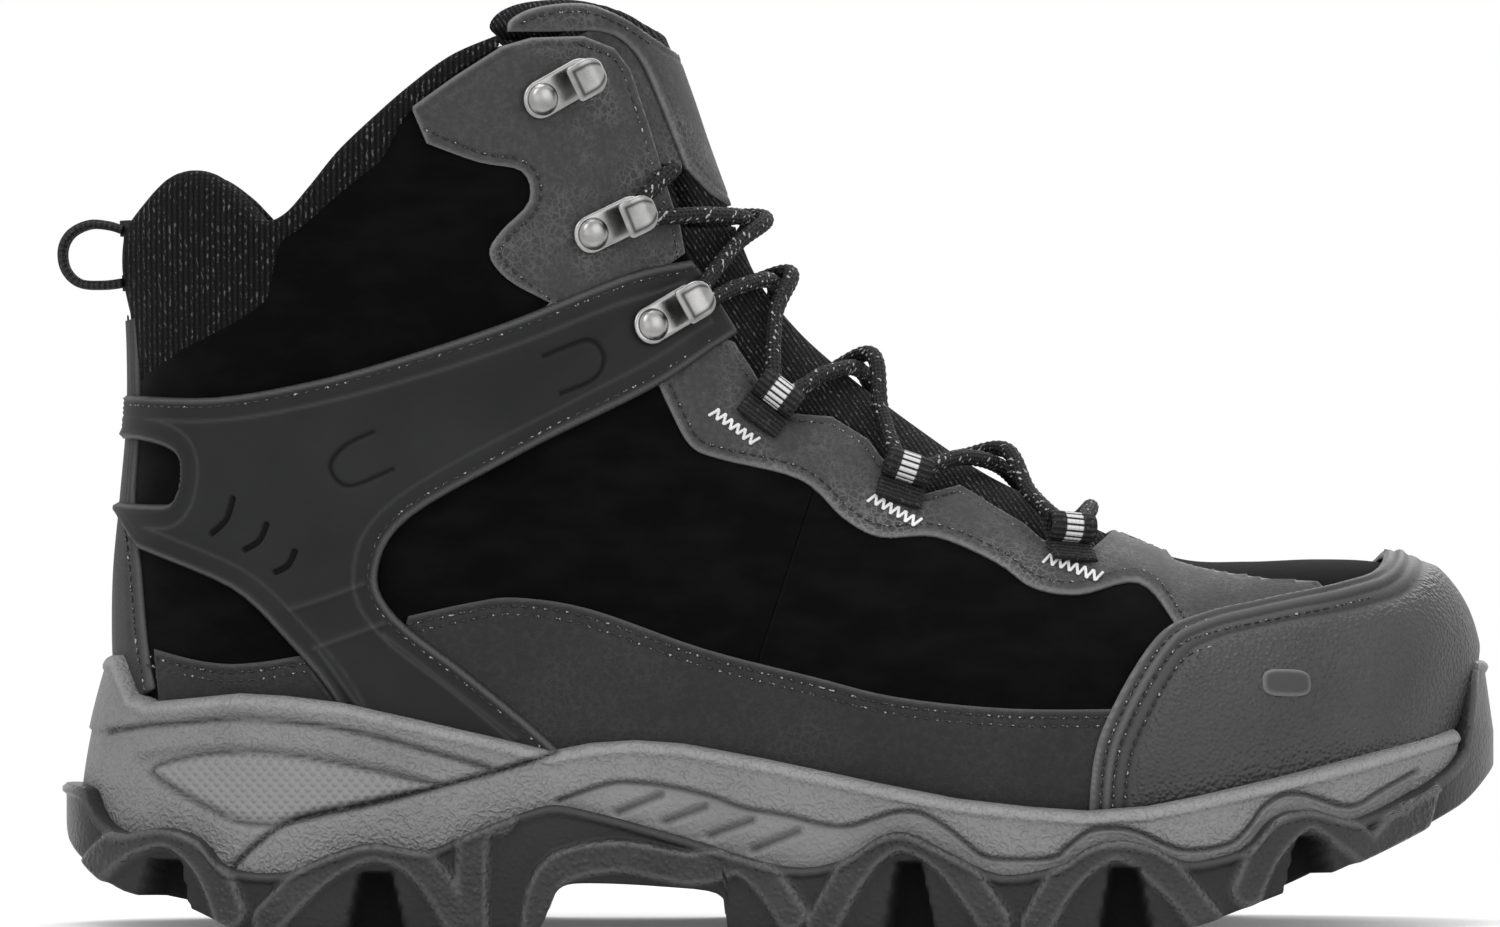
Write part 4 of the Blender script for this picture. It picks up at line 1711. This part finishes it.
def makeTongue():
    print("tongue")
    piece = panel("tongueMesh", "mesh", tonguePiece["outline"], -6.8, puffed, 1.0, chart="top",
                  depth=0.2)
    [v * mm for v in tonguePiece["bendFrom"]]
    [v * mm for v in tonguePiece["bendTo"]]
    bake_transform(piece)
    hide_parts("tongue_top", "tongue_base")
    cover = panel("tonguePanel", "leather", tonguePiece["panel"], -1.5,
                  edged(1.2, channels=[(2.0, 0.2)]), 0.6, chart="top")
    place(cover, "tongue", "leather", ["tongue_panel"])
    for side, word in sides:
        stitch("tongueStitches" + word, [shifted(coverTop[6:-4], -1.9)], side, -0.25,
               body="tongue")
    makeTongueWings()


footbedPiece = {"edge": 6.4, "thick": 5.0, "lift": 6.1, "cup": 2.2, "heel": -134, "toe": 136}


def makeFootbed():
    print("footbed")
    low = sections[:19]
    order = np.argsort(low[:, 2])
    x = np.linspace(footbedPiece["heel"], footbedPiece["toe"], 120)
    half = np.interp(x, low[order, 2], low[order, 5]) - footbedPiece["edge"]
    ends = np.minimum(x - x[0], x[-1] - x) / 14
    half = half * np.sqrt(np.clip(1 - (1 - np.clip(ends, 0, 1)) ** 2, 0.05, 1))
    centre = np.interp(x, low[order, 2], low[order, 8])
    ground = np.interp(x, low[order, 2], low[order, 3]) + footbedPiece["lift"]
    v = np.linspace(-1, 1, 41)
    cup = footbedPiece["cup"] * np.abs(v[None, :]) ** 4 * step(-x, -40, 60)[:, None]
    y = centre[:, None] + half[:, None] * v[None, :]
    shape = footbedPiece["thick"] * np.sqrt(np.clip(1 - np.abs(v) ** 10, 0.3, 1))[None, :]
    top = np.stack([np.broadcast_to(x[:, None], y.shape), y,
                    ground[:, None] + shape - 1.2 + cup * 0.55], 2)
    under = np.stack([np.broadcast_to(x[:, None], y.shape), y,
                      ground[:, None] + 0 * shape + cup * 0.2], 2)
    n = len(v)
    faces = [[r * n + k, (r + 1) * n + k, (r + 1) * n + k + 1, r * n + k + 1]
             for r in range(len(x) - 1) for k in range(n - 1)]
    verts, whole = closeSheet(top.reshape(-1, 3), under.reshape(-1, 3), faces)
    piece = makeMesh("footbedFoam", verts, whole, "footbed")
    turnOut(piece)
    place(piece, "footbed", "footbed_foam", ["footbed"])


pullPiece = {"path": [[-143.7, 152.4], [-147, 153.4], [-151.2, 153.6], [-155.2, 151.6],
                      [-157.0, 148], [-156.3, 143.6], [-153.2, 140.7], [-148, 140.3],
                      [-143.7, 140.8]],
             "width": 14.0, "thickness": 2.0, "bendFrom": [-143.5, 0, 147],
             "bendTo": [-149.5, 0, 147]}


def makePullLoop():
    print("pull loop")
    path = evenly(smooth(pullPiece["path"], 8), 0.5)
    path = np.column_stack([path[:, 0], 0 * path[:, 0], path[:, 1]])
    across = np.broadcast_to([0.0, 1.0, 0.0], path.shape)
    piece = strap("pullLoop", "pull", path, across, pullPiece["width"],
                  pullPiece["thickness"], 17)
    [v * mm for v in pullPiece["bendFrom"]]
    [v * mm for v in pullPiece["bendTo"]]
    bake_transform(piece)
    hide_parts("pull_loop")


badgePiece = {"centre": (109, 53), "size": (5.0, 2.6)}


def makeBadge():
    print("toe badge")
    a = np.linspace(0, 2 * math.pi, 40, endpoint=False)
    cx, cz = badgePiece["centre"]
    wide, high = badgePiece["size"]
    outline = np.column_stack([cx + wide * np.sign(np.cos(a)) * np.abs(np.cos(a)) ** 0.6,
                               cz + high * np.sign(np.sin(a)) * np.abs(np.sin(a)) ** 0.6])
    piece = panel("toeBadge", "toe", outline, 3.5, edged(1.2, 1.0), 0.5, side=lateral,
                  depth=0.5, marks=lambda gap, points: {"groove": gap * 0, "field": gap * 0})
    place(piece, "boot", "badge_rubber", ["toe_badge"])


def finishHidden():  # CAD pieces whose shape is right get a finish of their own
    for node, name in {"shank": "steel", "lasting_board": "board", "heel_counter": "board",
                       "toe_puff": "board", "aglets": "aglet",
                       "pull_loop_tabs": "pullTab"}.items():
        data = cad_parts[node].data
        data.materials.clear()
        data.materials.append(finishes[name])


makers = [makeQuarters, makeVamp, makeEyestays, makeVampOverlays, makeMudguards,
          makeHeelPatches, makeAnkleBands, makeToeCap, makeMidsole, makeOutsole,
          makeTreadLugs, makeLining, makeCollar, makeTongue, makeFootbed, makeBackstay,
          makeHooks, makeLaceLoops, makeLace, makePullLoop, makeBadge, finishHidden]


floorPiece = {"size": 6000, "drop": 0.3}


def makeFloor():
    half = floorPiece["size"]
    z = -floorPiece["drop"]
    corners = [[-half, -half, z], [half, -half, z], [half, half, z], [-half, half, z]]
    piece = makeMesh("floor", corners, [[0, 1, 2, 3]], "floor", smoothed=False)


makeCamera()
makeLights()
finishes = makeFinishes()
rowForms = rowTree()
for make in makers:
    make()
makeFloor()

print("done")
